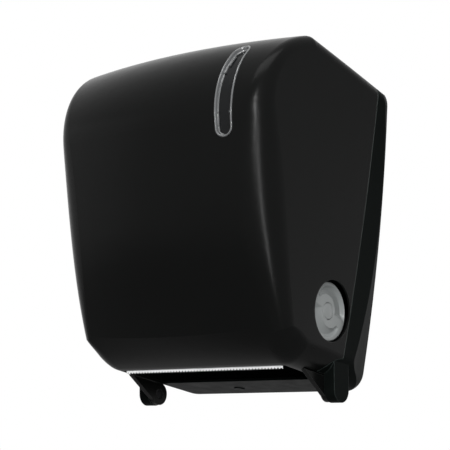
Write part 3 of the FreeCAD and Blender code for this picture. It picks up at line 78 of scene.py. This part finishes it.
def addNode(tree, kind, settings=None, **sockets):
    node = tree.nodes.new("ShaderNode" + kind)
    for key, value in (settings or {}).items():
        setattr(node, key, value)
    for key, value in sockets.items():
        socket = node.inputs[key.replace("_", " ")]
        if isinstance(value, bpy.types.NodeSocket):
            tree.links.new(value, socket)
        else:
            socket.default_value = value
    return node


def place(tree, stretch=(1.0, 1.0, 1.0)):
    # object coordinates, stretched along each axis
    spot = addNode(tree, "TexCoord").outputs["Object"]
    if stretch == (1.0, 1.0, 1.0):
        return spot
    return addNode(tree, "Mapping", Vector=spot, Scale=stretch).outputs["Vector"]


def noise(tree, spot, scale, detail=2.0, rough=0.5):
    return addNode(tree, "TexNoise", Vector=spot, Scale=scale, Detail=detail, Roughness=rough).outputs["Fac"]


def ranged(tree, value, low, high, start=0.3, end=0.7):
    # maps a pattern from start..end onto low..high, clamped; noise lies mostly between 0.3 and 0.7
    node = addNode(tree, "MapRange", {"clamp": True}, Value=value, From_Min=start, From_Max=end)
    node.inputs["To Min"].default_value = low
    node.inputs["To Max"].default_value = high
    return node.outputs["Result"]


def tinted(tree, pattern, dark, light):
    # two tones of one colour, mixed by a pattern
    node = addNode(tree, "Mix", {"data_type": "RGBA"})
    tree.links.new(pattern, node.inputs[0])
    node.inputs[6].default_value = (*dark, 1.0)
    node.inputs[7].default_value = (*light, 1.0)
    return node.outputs[2]


def bump(tree, height, strength, depth, below):
    # a bump over another normal
    node = addNode(tree, "Bump", Strength=strength, Distance=depth, Height=height)
    tree.links.new(below, node.inputs["Normal"])
    return node.outputs["Normal"]


# samples of the rounding, and the lean of a rounded normal at which the painted edge highlight is full and at
# which there is none
edgeSet = dict(samples=6, highlighted=0.80, open=0.985)


def softEdges(tree, radius):
    # moulded and broken edges catch the light as if rounded by this radius
    return addNode(tree, "Bevel", {"samples": edgeSet["samples"]}, Radius=radius).outputs["Normal"]


def edgeMask(tree, rounded):
    # 1 where the rounded normal leans away from the surface's own, 0 on open faces: the mask of the painted
    # edge highlight
    surface = addNode(tree, "NewGeometry").outputs["Normal"]
    lean = addNode(tree, "VectorMath", {"operation": "DOT_PRODUCT"})
    tree.links.new(rounded, lean.inputs[0])
    tree.links.new(surface, lean.inputs[1])
    return ranged(tree, lean.outputs["Value"], 1.0, 0.0, edgeSet["highlighted"], edgeSet["open"])


# tone, spread of tone, roughness and its play, grain per metre and its depth, specular level, edge radius,
# and how many times lighter the plastic is painted along its edges, a painted highlight
plasticSet = {
    "coverPlastic": dict(tone=(0.0038, 0.0040, 0.0039), spread=0.16, rough=0.23, play=0.015, grain=2600.0,
                         depth=0.000012, shine=0.052, edge=0.0009, paintedHighlight=9.0),
    "housingPlastic": dict(tone=(0.0038, 0.0048, 0.0045), spread=0.18, rough=0.34, play=0.05, grain=2200.0,
                           depth=0.000014, shine=0.008, edge=0.0012, paintedHighlight=9.0),
    "knobPlastic": dict(tone=(0.192, 0.204, 0.203), spread=0.06, rough=0.34, play=0.08, grain=2400.0,
                        depth=0.000010, shine=0.45, edge=0.0004, paintedHighlight=1.3),
    "framePlastic": dict(tone=(0.008, 0.008, 0.009), spread=0.30, rough=0.55, play=0.10, grain=1500.0,
                         depth=0.000030, shine=0.18, edge=0.0005, paintedHighlight=3.0),
    "whitePlastic": dict(tone=(0.60, 0.59, 0.56), spread=0.05, rough=0.45, play=0.10, grain=1800.0,
                         depth=0.000014, shine=0.35, edge=0.0004, paintedHighlight=1.1),
    "rollerRubber": dict(tone=(0.030, 0.030, 0.032), spread=0.25, rough=0.74, play=0.10, grain=1300.0,
                         depth=0.000060, shine=0.20, edge=0.0004, paintedHighlight=1.5),
}


# patterns of every plastic: clouds of tone, rub marks stretched along z, a slow wave under the grain
patternSet = dict(clouds=9.0, cloudDetail=3.0, rubs=55.0, rubDetail=5.0, rubRough=0.65,
                  rubStretch=(1.0, 1.0, 0.12), wave=260.0, waveStrength=0.25, waveDepth=2.0,
                  grainStrength=0.6)


def mouldedPlastic(name):
    # fine moulded grain over slow tone clouds, with faint rub marks in the gloss and a painted highlight
    # along its edges
    look = plasticSet[name]
    material, tree, shader = newMaterial(name)
    spot = place(tree)
    clouds = noise(tree, spot, patternSet["clouds"], patternSet["cloudDetail"])
    dark = tuple(c * (1 - look["spread"]) for c in look["tone"])
    light = tuple(c * (1 + look["spread"]) for c in look["tone"])
    rounded = softEdges(tree, look["edge"])
    # edges painted lighter: a painted highlight where rounded edges would catch the light
    highlighted = addNode(tree, "Mix", {"data_type": "RGBA"})
    tree.links.new(edgeMask(tree, rounded), highlighted.inputs[0])
    tree.links.new(tinted(tree, clouds, dark, light), highlighted.inputs[6])
    highlighted.inputs[7].default_value = (*(c * look["paintedHighlight"] for c in look["tone"]), 1.0)
    tree.links.new(highlighted.outputs[2], shader.inputs["Base Color"])
    along = place(tree, patternSet["rubStretch"])
    rubs = noise(tree, along, patternSet["rubs"], patternSet["rubDetail"], patternSet["rubRough"])
    low, high = look["rough"] - look["play"], look["rough"] + look["play"]
    tree.links.new(ranged(tree, rubs, low, high), shader.inputs["Roughness"])
    wave = noise(tree, spot, patternSet["wave"], 1.0)
    slow = bump(tree, wave, patternSet["waveStrength"], look["depth"] * patternSet["waveDepth"], rounded)
    fine = noise(tree, spot, look["grain"], 1.0)
    grain = bump(tree, fine, patternSet["grainStrength"], look["depth"], slow)
    tree.links.new(grain, shader.inputs["Normal"])
    shader.inputs["Specular IOR Level"].default_value = look["shine"]
    return material


# tone, roughness and its play, stretch of the brushing, lines per metre and their depth
metalSet = {
    "platedSteel": dict(tone=(0.50, 0.51, 0.52), rough=0.32, play=0.08, stretch=(1.0, 1.0, 1.0), lines=420.0,
                        depth=0.000010),
    "darkSteel": dict(tone=(0.008, 0.008, 0.009), rough=0.42, play=0.08, stretch=(1.0, 1.0, 1.0), lines=420.0,
                      depth=0.000010),
    "stainlessSteel": dict(tone=(0.90, 0.91, 0.92), rough=0.34, play=0.07, stretch=(0.02, 1.0, 1.0),
                           lines=2600.0, depth=0.000008),
    "lockChrome": dict(tone=(0.66, 0.67, 0.68), rough=0.14, play=0.04, stretch=(1.0, 1.0, 1.0), lines=300.0,
                       depth=0.000004),
    "springSteel": dict(tone=(0.36, 0.37, 0.38), rough=0.28, play=0.06, stretch=(1.0, 1.0, 0.2), lines=900.0,
                        depth=0.000006),
}


# how every metal's tone clouds, how strong its brushing is, and the radius of its broken edges
brushSet = dict(clouds=60.0, dark=0.86, light=1.10, detail=3.0, linesRough=0.6, strength=0.5, edge=0.0003)


def workedMetal(name):
    # brushed or plated metal, whose gloss follows fine lines along the part
    look = metalSet[name]
    material, tree, shader = newMaterial(name)
    brushed = place(tree, look["stretch"])
    lines = noise(tree, brushed, look["lines"], brushSet["detail"], brushSet["linesRough"])
    clouds = noise(tree, place(tree), brushSet["clouds"], 2.0)
    dark = tuple(c * brushSet["dark"] for c in look["tone"])
    light = tuple(min(1.0, c * brushSet["light"]) for c in look["tone"])
    tree.links.new(tinted(tree, clouds, dark, light), shader.inputs["Base Color"])
    low, high = look["rough"] - look["play"], look["rough"] + look["play"]
    tree.links.new(ranged(tree, lines, low, high), shader.inputs["Roughness"])
    rounded = softEdges(tree, brushSet["edge"])
    tree.links.new(bump(tree, lines, brushSet["strength"], look["depth"], rounded), shader.inputs["Normal"])
    shader.inputs["Metallic"].default_value = 1.0
    return material


# tone, roughness, how much light passes, specular level, depth of the ripple
clearSet = {
    "lensRim": dict(tone=(0.20, 0.206, 0.21), rough=0.13, clear=0.45, shine=0.80, ripple=0.00003),
    "lensPane": dict(tone=(0.008, 0.0085, 0.009), rough=0.22, clear=0.10, shine=0.06, ripple=0.00004),
}


# patterns of the clear plastic: clouds of tone, a soft ripple and its play in the gloss
rippleSet = dict(clouds=90.0, dark=0.85, ripples=170.0, stretch=(1.0, 1.0, 0.3), smooth=0.7, dull=1.3,
                 strength=0.4, edge=0.0003, index=1.49)


def clearPlastic(name):
    # see-through plastic with a soft moulded ripple
    look = clearSet[name]
    material, tree, shader = newMaterial(name)
    dark = tuple(c * rippleSet["dark"] for c in look["tone"])
    clouds = noise(tree, place(tree), rippleSet["clouds"], 2.0)
    tree.links.new(tinted(tree, clouds, dark, look["tone"]), shader.inputs["Base Color"])
    ripple = noise(tree, place(tree, rippleSet["stretch"]), rippleSet["ripples"], 1.0)
    smooth, dull = look["rough"] * rippleSet["smooth"], look["rough"] * rippleSet["dull"]
    tree.links.new(ranged(tree, ripple, smooth, dull), shader.inputs["Roughness"])
    rounded = softEdges(tree, rippleSet["edge"])
    waved = bump(tree, ripple, rippleSet["strength"], look["ripple"], rounded)
    tree.links.new(waved, shader.inputs["Normal"])
    shader.inputs["Transmission Weight"].default_value = look["clear"]
    shader.inputs["Specular IOR Level"].default_value = look["shine"]
    shader.inputs["IOR"].default_value = rippleSet["index"]
    return material


slotLooks = {
    "cover_plastic": mouldedPlastic("coverPlastic"),
    "housing_plastic": mouldedPlastic("housingPlastic"),
    "knob_plastic": mouldedPlastic("knobPlastic"),
    "frame_plastic": mouldedPlastic("framePlastic"),
    "white_plastic": mouldedPlastic("whitePlastic"),
    "roller_rubber": mouldedPlastic("rollerRubber"),
    "plated_steel": workedMetal("platedSteel"),
    "stainless_steel": workedMetal("stainlessSteel"),
    "lock_chrome": workedMetal("lockChrome"),
    "spring_steel": workedMetal("springSteel"),
    "smoke_window": clearPlastic("lensPane"),
}
lensRim = clearPlastic("lensRim")
darkSteel = workedMetal("darkSteel")
print("finishes made:", len(slotLooks) + 2)

for part in frame["record"]["subparts"]:
    mesh = frame["nodes"][part["node"]].data
    mesh.materials.clear()
    isPin = part["node"].startswith("hinge_pin")
    mesh.materials.append(darkSteel if isPin else slotLooks[part["material_slot"]])
print("finishes set on the frame")


def gridQuads(rows, columns):
    # faces of a grid of points, row by row, with the last column joined to the first
    row, column = np.meshgrid(np.arange(rows - 1), np.arange(columns), indexing="ij")
    here, beside = row * columns + column, row * columns + (column + 1) % columns
    return np.stack([here, beside, beside + columns, here + columns], axis=-1).reshape(-1, 4)


mergeSet = dict(points=0.00001, slivers=0.000005)  # in metres: points this near merge, edges this short go


def addSurface(name, points, materials, bands=None):
    # Makes a smooth mesh from a grid of points in mm, rows x columns x 3. Points that meet are merged, and
    # bands gives each row of faces its material.
    rows, columns = points.shape[:2]
    quads = gridQuads(rows, columns)
    mesh = bpy.data.meshes.new(name)
    mesh.from_pydata((points.reshape(-1, 3) * mm).tolist(), [], quads.tolist())
    for material in materials:
        mesh.materials.append(material)
    if bands is not None:
        mesh.polygons.foreach_set("material_index", np.repeat(bands, columns).astype(np.int32))
    shape = bmesh.new()
    shape.from_mesh(mesh)
    bmesh.ops.remove_doubles(shape, verts=shape.verts, dist=mergeSet["points"])
    bmesh.ops.dissolve_degenerate(shape, edges=shape.edges, dist=mergeSet["slivers"])
    bmesh.ops.recalc_face_normals(shape, faces=shape.faces)
    shape.to_mesh(mesh)
    shape.free()
    mesh.polygons.foreach_set("use_smooth", np.ones(len(mesh.polygons), dtype=bool))
    piece = bpy.data.objects.new(name, mesh)
    bpy.context.scene.collection.objects.link(piece)
    return piece


def smoothStep(value, start, end):
    share = np.clip((value - start) / (end - start), 0.0, 1.0)
    return share * share * (3 - 2 * share)


# the cover's front, in mm: crown and arcs of its outer form
formSet = dict(frontDepth=212.0, frontCrown=12.0, topCrown=3.0, crownSpan=140.0, rollRadius=97.0,
               rollHeight=103.0, frontRadius=528.0)
slopeStep = 0.5  # mm either side of a point, over which the front's slope is taken


def frontSkin(across, height):
    # Depth of the cover's front at a width and a height: a big roll-over arc above rollHeight and a gentle
    # arc below it, both falling back and down with the square of the distance from the middle.
    crown = (across / formSet["crownSpan"]) ** 2
    rise = height + formSet["topCrown"] * crown - formSet["rollHeight"]
    radius = np.where(rise > 0, formSet["rollRadius"], formSet["frontRadius"])
    drop = radius - np.sqrt(np.maximum(radius ** 2 - rise ** 2, 0.0))
    return -formSet["frontDepth"] + formSet["frontCrown"] * crown + drop


def onFront(across, height, proud):
    # points that stand proud of the front, square to it
    aside = frontSkin(across + slopeStep, height) - frontSkin(across - slopeStep, height)
    upward = frontSkin(across, height + slopeStep) - frontSkin(across, height - slopeStep)
    slopeX, slopeZ = aside / (2 * slopeStep), upward / (2 * slopeStep)
    normal = np.stack([slopeX, -np.ones_like(slopeX), slopeZ], axis=-1)
    normal /= np.linalg.norm(normal, axis=-1, keepdims=True)
    foot = np.stack([across, frontSkin(across, height), height], axis=-1)
    return foot + normal * np.asarray(proud)[..., None]


# a tray-shaped clear lens: end circles, bow of its long edges, and its section as (inward, proud) in mm
lensSet = dict(low=(96.9, 92.6), lowRadius=9.7, high=(92.8, 174.2), highRadius=9.2, bow=0.8, endSteps=36,
               sideSteps=70, wall=1.0,
               section=[(0.1, -1.6), (0.1, 0.2), (0.3, 0.7), (0.7, 0.95), (1.2, 0.95), (1.6, 0.7), (1.8, 0.2),
                        (1.95, -2.2), (2.1, -2.9), (2.4, -2.75), (2.7, -2.65), (3.0, -2.85), (3.2, -3.2),
                        (3.6, -3.35), (5.0, -3.35), (7.0, -3.3), (8.6, -3.25), (9.7, -3.25)], lightRows=12)


def lensOutline():
    # The outline and the middle line beside each of its points: a half circle at each end, and between them
    # edges that run straight from circle to circle plus a bow of sin(pi t).
    low, high = np.array(lensSet["low"]), np.array(lensSet["high"])
    turn = np.linspace(0, math.pi, lensSet["endSteps"], endpoint=False)
    run = np.linspace(0, 1, lensSet["sideSteps"], endpoint=False)
    ends, middles = [], []
    for centre, radius, start in ((high, lensSet["highRadius"], 0.0), (low, lensSet["lowRadius"], math.pi)):
        ends.append(centre + radius * np.stack([np.cos(turn + start), np.sin(turn + start)], axis=-1))
        middles.append(np.repeat(centre[None], len(turn), axis=0))
    sides, axes = [], []
    for first, last, way in ((high, low, -1.0), (low, high, 1.0)):
        axis = first + (last - first) * run[:, None]
        share = np.linalg.norm(axis - low, axis=-1) / np.linalg.norm(high - low)
        half = lensSet["lowRadius"] + (lensSet["highRadius"] - lensSet["lowRadius"]) * share
        half = half + lensSet["bow"] * np.sin(math.pi * run)
        sides.append(axis + np.stack([way * half, np.zeros_like(half)], axis=-1))
        axes.append(axis)
    return (np.concatenate([ends[0], sides[0], ends[1], sides[1]]),
            np.concatenate([middles[0], axes[0], middles[1], axes[1]]))


def sightLens():
    # each row of the grid is the outline moved inward by one step of the section and raised by its height
    edge, middle = lensOutline()
    rows = []
    for inward, proud in lensSet["section"]:
        share = min(inward / lensSet["lowRadius"], 1.0)
        spot = edge + (middle - edge) * share
        rows.append(onFront(spot[:, 0], spot[:, 1], np.full(len(spot), proud)))
    bands = (np.arange(len(rows) - 1) >= lensSet["lightRows"]).astype(int)
    lens = addSurface("sightLens", np.stack(rows), [lensRim, slotLooks["smoke_window"]], bands)
    solid = lens.modifiers.new("wall", "SOLIDIFY")
    solid.thickness, solid.offset = lensSet["wall"] * mm, -1.0
    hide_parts("sight_window")
    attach(lens, "cover")


# snap clips inside the lens, in mm: place across and up, half width and half height of each
clipSet = dict(proud=-2.1, thick=0.9, square=0.35, columns=40, rows=21,
               clips=[(89.6, 99.5, 1.0, 4.6), (90.9, 89.6, 0.8, 2.0), (88.6, 109.0, 1.5, 0.8),
                      (86.9, 152.5, 1.4, 0.9), (103.2, 108.0, 1.2, 0.8), (100.9, 163.5, 1.2, 0.8),
                      (89.1, 166.0, 0.7, 6.0)])


def lensClips():
    # rounded blocks: a superellipsoid, sines and cosines to the power of its squareness
    def power(value):
        return np.sign(value) * np.abs(value) ** clipSet["square"]

    turn, rise = np.meshgrid(np.linspace(0, math.tau, clipSet["columns"], endpoint=False),
                             np.linspace(-math.pi / 2, math.pi / 2, clipSet["rows"]))
    for number, (across, height, halfX, halfZ) in enumerate(clipSet["clips"], start=1):
        wide = across + halfX * power(np.cos(rise)) * power(np.cos(turn))
        tall = height + halfZ * power(np.cos(rise)) * power(np.sin(turn))
        proud = clipSet["proud"] + clipSet["thick"] * power(np.sin(rise))
        clip = addSurface(f"lensClip.{number}", onFront(wide, tall, proud), [lensRim])
        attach(clip, "cover")


sightLens()
lensClips()
print("sight lens and its clips made")


# Feed knob in mm: two spiral finger scoops that deepen clockwise towards a step, and a domed button in a ring
# groove. Outer, inner and floor are shares of the knob's radius and the scoop's depth, at the shares of the
# sweep that stand before them.
knobSet = dict(radius=30.0, face=131.2, back=119.0, edge=0.9, stepAngle=-19.0, sweep=156.0, depth=5.2,
               shares=(0.0, 0.35, 0.7, 1.0), outer=(0.985, 0.965, 0.90, 0.82), inner=(0.38, 0.43, 0.56, 0.66),
               floorShares=(0.0, 0.3, 0.7, 0.94, 1.0), floor=(1.0, 0.90, 0.74, 0.62, 0.0), fall=(0.95, 0.45),
               wall=(0.86, 0.50), facet=8.0, facetTip=0.32, facetLeast=0.03, groove=(8.1, 9.0),
               grooveDepth=3.0, wallWide=0.02, beforeStep=0.4, backEdge=0.3, columns=540, rings=100,
               innerRings=12, rimTilts=(30.0, 60.0, 90.0))


def knobFace(radius, angle):
    # Height of the face over its plane. The scoop's share runs from its step to its shallow end; its inner
    # and outer radii and its depth follow that share. Across the scoop the floor falls outward as a power of
    # the distance and rises again at the outer wall. At the step it starts down a wedge-shaped slanted facet.
    turned = np.mod(np.degrees(angle) - knobSet["stepAngle"], 180.0)
    share = turned / knobSet["sweep"]
    outer = np.interp(share, knobSet["shares"], knobSet["outer"]) * knobSet["radius"]
    inner = np.interp(share, knobSet["shares"], knobSet["inner"]) * knobSet["radius"]
    across = (radius - inner) / (outer - inner)
    rising = smoothStep(across, np.interp(share, (0.0, 1.0), knobSet["wall"]), 1.0)
    bowl = np.clip(across, 0, 1) ** np.interp(share, (0.0, 1.0), knobSet["fall"]) * (1 - rising)
    tip = knobSet["facetTip"] * knobSet["radius"]
    spread = np.clip((radius - tip) / (knobSet["radius"] - tip), knobSet["facetLeast"], 1)
    wedge = knobSet["facet"] * spread
    slant = np.clip(np.radians(turned) * radius / wedge, 0, 1)
    floor = knobSet["depth"] * np.interp(share, knobSet["floorShares"], knobSet["floor"])
    low, high = knobSet["groove"]
    groove = (radius > low) & (radius < high)
    return np.where(groove, -knobSet["grooveDepth"], -floor * bowl * slant)


def ringPoints(centre, along, radius, angle):
    # points round the knob's axis, which runs across
    across, up = centre[0] + radius * np.cos(angle), centre[1] + radius * np.sin(angle)
    return np.stack([np.broadcast_to(along, across.shape), across, up], axis=-1)


def feedKnob():
    # Rings over the face, a rounded rim from a quarter circle of tilts, and a plain back. An angle just
    # before each step keeps the step's wall upright.
    low, high = (np.array(corner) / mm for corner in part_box("feed_knob"))
    centre = tuple((low + high)[1:] / 2)
    angle = np.linspace(0, math.tau, knobSet["columns"], endpoint=False) + math.radians(knobSet["stepAngle"])
    steps = [math.radians(knobSet["stepAngle"] + half - knobSet["beforeStep"]) for half in (0.0, 180.0)]
    angle = np.sort(np.mod(np.concatenate([angle, steps]), math.tau))
    rounded = knobSet["radius"] - knobSet["edge"]
    inside, outside = knobSet["groove"]
    walls = [inside + knobSet["wallWide"], outside - knobSet["wallWide"]]
    rings = np.concatenate([np.linspace(0, inside, knobSet["innerRings"]), walls,
                            np.linspace(outside, rounded, knobSet["rings"])])
    ring, around = np.meshgrid(rings, angle, indexing="ij")
    face = knobFace(ring, around)
    rows = [ringPoints(centre, knobSet["face"] + face, ring, around)]
    for tilt in np.radians(knobSet["rimTilts"]):
        radius = rounded + knobSet["edge"] * math.sin(tilt)
        along = knobSet["face"] + face[-1] - knobSet["edge"] * (1 - math.cos(tilt))
        rows.append(ringPoints(centre, along, radius, angle)[None])
    for radius in (knobSet["radius"], knobSet["radius"] - knobSet["backEdge"], 0.0):
        rows.append(ringPoints(centre, knobSet["back"], radius, angle)[None])
    knob = addSurface("feedKnob", np.concatenate(rows), [slotLooks["knob_plastic"]])
    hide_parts("feed_knob")
    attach(knob, "drum")
    return centre


# button in the middle of the knob, in mm: radius, height of its dome, how far it stands out and reaches in
buttonSet = dict(radius=8.0, dome=0.9, proud=0.5, reach=1.2, columns=96, rings=14)


def knobButton(centre):
    # a shallow dome, its height falling with the square of the radius, over a short rim
    angle = np.linspace(0, math.tau, buttonSet["columns"], endpoint=False)
    dome = np.linspace(0, 1, buttonSet["rings"]) * buttonSet["radius"]
    radii = np.concatenate([dome, [buttonSet["radius"], 0.0]])
    along = knobSet["face"] + buttonSet["proud"] - buttonSet["dome"] * (radii / buttonSet["radius"]) ** 2
    along[-2:] = knobSet["face"] - buttonSet["reach"]
    ring, around = np.meshgrid(radii, angle, indexing="ij")
    points = ringPoints(centre, along[:, None], ring, around)
    button = addSurface("knobButton", points, [slotLooks["knob_plastic"]])
    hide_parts("knob_cap")
    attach(button, "drum")


knobButton(feedKnob())
print("feed knob and its button made")


# springs over the pressure roller's blocks: wire radius in mm, turns, and how far their joint closes them
coilSet = dict(wire=0.45, turns=5.0, stepsPerTurn=40, sides=12, travel=3.0)


def blockSpring(side):
    # a helix whose height grows with its turn, and round the wire a circle of outward and upward parts
    low, high = (np.array(corner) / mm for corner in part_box(f"block_spring_{side}"))
    centre, tall = (low + high) / 2, high[2] - low[2]
    reach = (high[0] - low[0]) / 2 - coilSet["wire"]
    turn = np.linspace(0, coilSet["turns"] * math.tau, int(coilSet["turns"] * coilSet["stepsPerTurn"]) + 1)
    rise = low[2] + coilSet["wire"] + (tall - 2 * coilSet["wire"]) * turn / turn[-1]
    outward = np.stack([np.cos(turn), np.sin(turn), np.zeros_like(turn)], axis=-1)
    spine = centre * (1.0, 1.0, 0.0) + reach * outward + rise[:, None] * (0.0, 0.0, 1.0)
    around = np.linspace(0, math.tau, coilSet["sides"], endpoint=False)[None, :, None]
    ring = np.cos(around) * outward[:, None] + np.sin(around) * np.array([0.0, 0.0, 1.0])
    tube = spine[:, None] + coilSet["wire"] * ring
    ends = [np.repeat(spine[[end]][:, None], coilSet["sides"], axis=1) for end in (0, -1)]
    points = np.concatenate([ends[0], tube, ends[1]])
    spring = addSurface(f"blockSpring.{side}", points, [slotLooks["spring_steel"]])
    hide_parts(f"block_spring_{side}")
    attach(spring, "housing")
    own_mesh(spring)


for springSide in ("left", "right"):
    blockSpring(springSide)
print("block springs made")


# floor in metres below the model and either side of it, its tone and gloss, and its share of plain white
stageSet = dict(floorDrop=0.60, floorHalf=3.0, floorTone=(0.40, 0.40, 0.40), floorRough=0.9, glow=0.45)
worldSet = dict(fill=0.20)  # the world's light on the object; where it is seen it is white


def anyRay(tree):
    # 1 for the rays that show the surroundings: straight to the camera, mirrored, or through glass
    rays = addNode(tree, "LightPath")
    seen = addNode(tree, "Math", {"operation": "MAXIMUM"})
    tree.links.new(rays.outputs["Is Camera Ray"], seen.inputs[0])
    tree.links.new(rays.outputs["Is Transmission Ray"], seen.inputs[1])
    shown = addNode(tree, "Math", {"operation": "MAXIMUM"})
    tree.links.new(seen.outputs[0], shown.inputs[0])
    tree.links.new(rays.outputs["Is Glossy Ray"], shown.inputs[1])
    return shown.outputs[0]


def paleFloor():
    # a square floor below the dispenser, pale to the eye and still shaded under it
    low = cadBox[0].z - stageSet["floorDrop"]
    half = stageSet["floorHalf"]
    mesh = bpy.data.meshes.new("floor")
    corners = [(-half, -half, low), (half, -half, low), (half, half, low), (-half, half, low)]
    mesh.from_pydata(corners, [], [(0, 1, 2, 3)])
    floor = bpy.data.objects.new("floor", mesh)
    bpy.context.scene.collection.objects.link(floor)
    material, tree, shader = newMaterial("paleFloor")
    shader.inputs["Base Color"].default_value = (*stageSet["floorTone"], 1.0)
    shader.inputs["Roughness"].default_value = stageSet["floorRough"]
    shader.inputs["Specular IOR Level"].default_value = 0.0
    share = addNode(tree, "Math", {"operation": "MULTIPLY"})
    tree.links.new(anyRay(tree), share.inputs[0])
    share.inputs[1].default_value = stageSet["glow"]
    glow = addNode(tree, "Emission", Color=(1.0, 1.0, 1.0, 1.0), Strength=1.0)
    blend = tree.nodes.new("ShaderNodeMixShader")
    tree.links.new(share.outputs[0], blend.inputs[0])
    tree.links.new(shader.outputs[0], blend.inputs[1])
    tree.links.new(glow.outputs[0], blend.inputs[2])
    output = tree.nodes["Material Output"]
    tree.links.new(blend.outputs[0], output.inputs["Surface"])
    mesh.materials.append(material)


def paleWorld():
    world = bpy.data.worlds.new("studio")
    bpy.context.scene.world = world
    world.use_nodes = True
    tree = world.node_tree
    backdrop = tree.nodes["Background"]
    backdrop.inputs["Color"].default_value = (1.0, 1.0, 1.0, 1.0)
    strength = addNode(tree, "Mix", {"data_type": "FLOAT"})
    tree.links.new(anyRay(tree), strength.inputs[0])
    strength.inputs[2].default_value = worldSet["fill"]
    strength.inputs[3].default_value = 1.0
    tree.links.new(strength.outputs[0], backdrop.inputs["Strength"])


lampAim = (0.0, -0.1, 0.0)  # the middle of the dispenser
# place, turn about its own axis, width, height, watts
lampSet = {
    "overhead": dict(at=(0.30, -0.70, 1.60), roll=0.0, wide=1.3, tall=0.8, power=15.0),
    "cornerUpper": dict(at=(0.997, -1.277, 0.45), roll=31.0, wide=0.06, tall=0.75, power=19.0),
    "cornerLower": dict(at=(1.31, -0.952, -0.08), roll=25.0, wide=0.06, tall=0.50, power=5.5),
    "rearRim": dict(at=(0.42, 1.5, 0.2), roll=0.0, wide=0.3, tall=1.5, power=2.5),
    "leftFill": dict(at=(-1.6, -1.1, 0.3), roll=0.0, wide=1.0, tall=1.2, power=1.5),
}


def softLamp(name, look):
    light = bpy.data.lights.new(name, "AREA")
    light.shape = "RECTANGLE"
    light.size, light.size_y, light.energy = look["wide"], look["tall"], look["power"]
    lamp = bpy.data.objects.new(name, light)
    bpy.context.scene.collection.objects.link(lamp)
    lamp.location = look["at"]
    facing = (Vector(lampAim) - Vector(look["at"])).to_track_quat("-Z", "Y")
    lamp.rotation_euler = (facing @ Quaternion((0.0, 0.0, 1.0), math.radians(look["roll"]))).to_euler()


cameraSet = dict(at=(0.9865, -1.3302, -0.2038), rise=7.95, turn=38.3, lens=120.0, sensor=36.0, near=0.05,
                 far=20.0)


def mainCamera():
    view = bpy.data.cameras.new("mainCamera")
    view.lens, view.sensor_width = cameraSet["lens"], cameraSet["sensor"]
    view.clip_start, view.clip_end = cameraSet["near"], cameraSet["far"]
    camera = bpy.data.objects.new("mainCamera", view)
    bpy.context.scene.collection.objects.link(camera)
    camera.location = cameraSet["at"]
    camera.rotation_euler = (math.radians(90 + cameraSet["rise"]), 0.0, math.radians(cameraSet["turn"]))
    bpy.context.scene.camera = camera


paleFloor()
paleWorld()
for lampName, lampLook in lampSet.items():
    softLamp(lampName, lampLook)
mainCamera()
bpy.context.scene.view_settings.view_transform = "Standard"
print("stage, lamps and camera set")
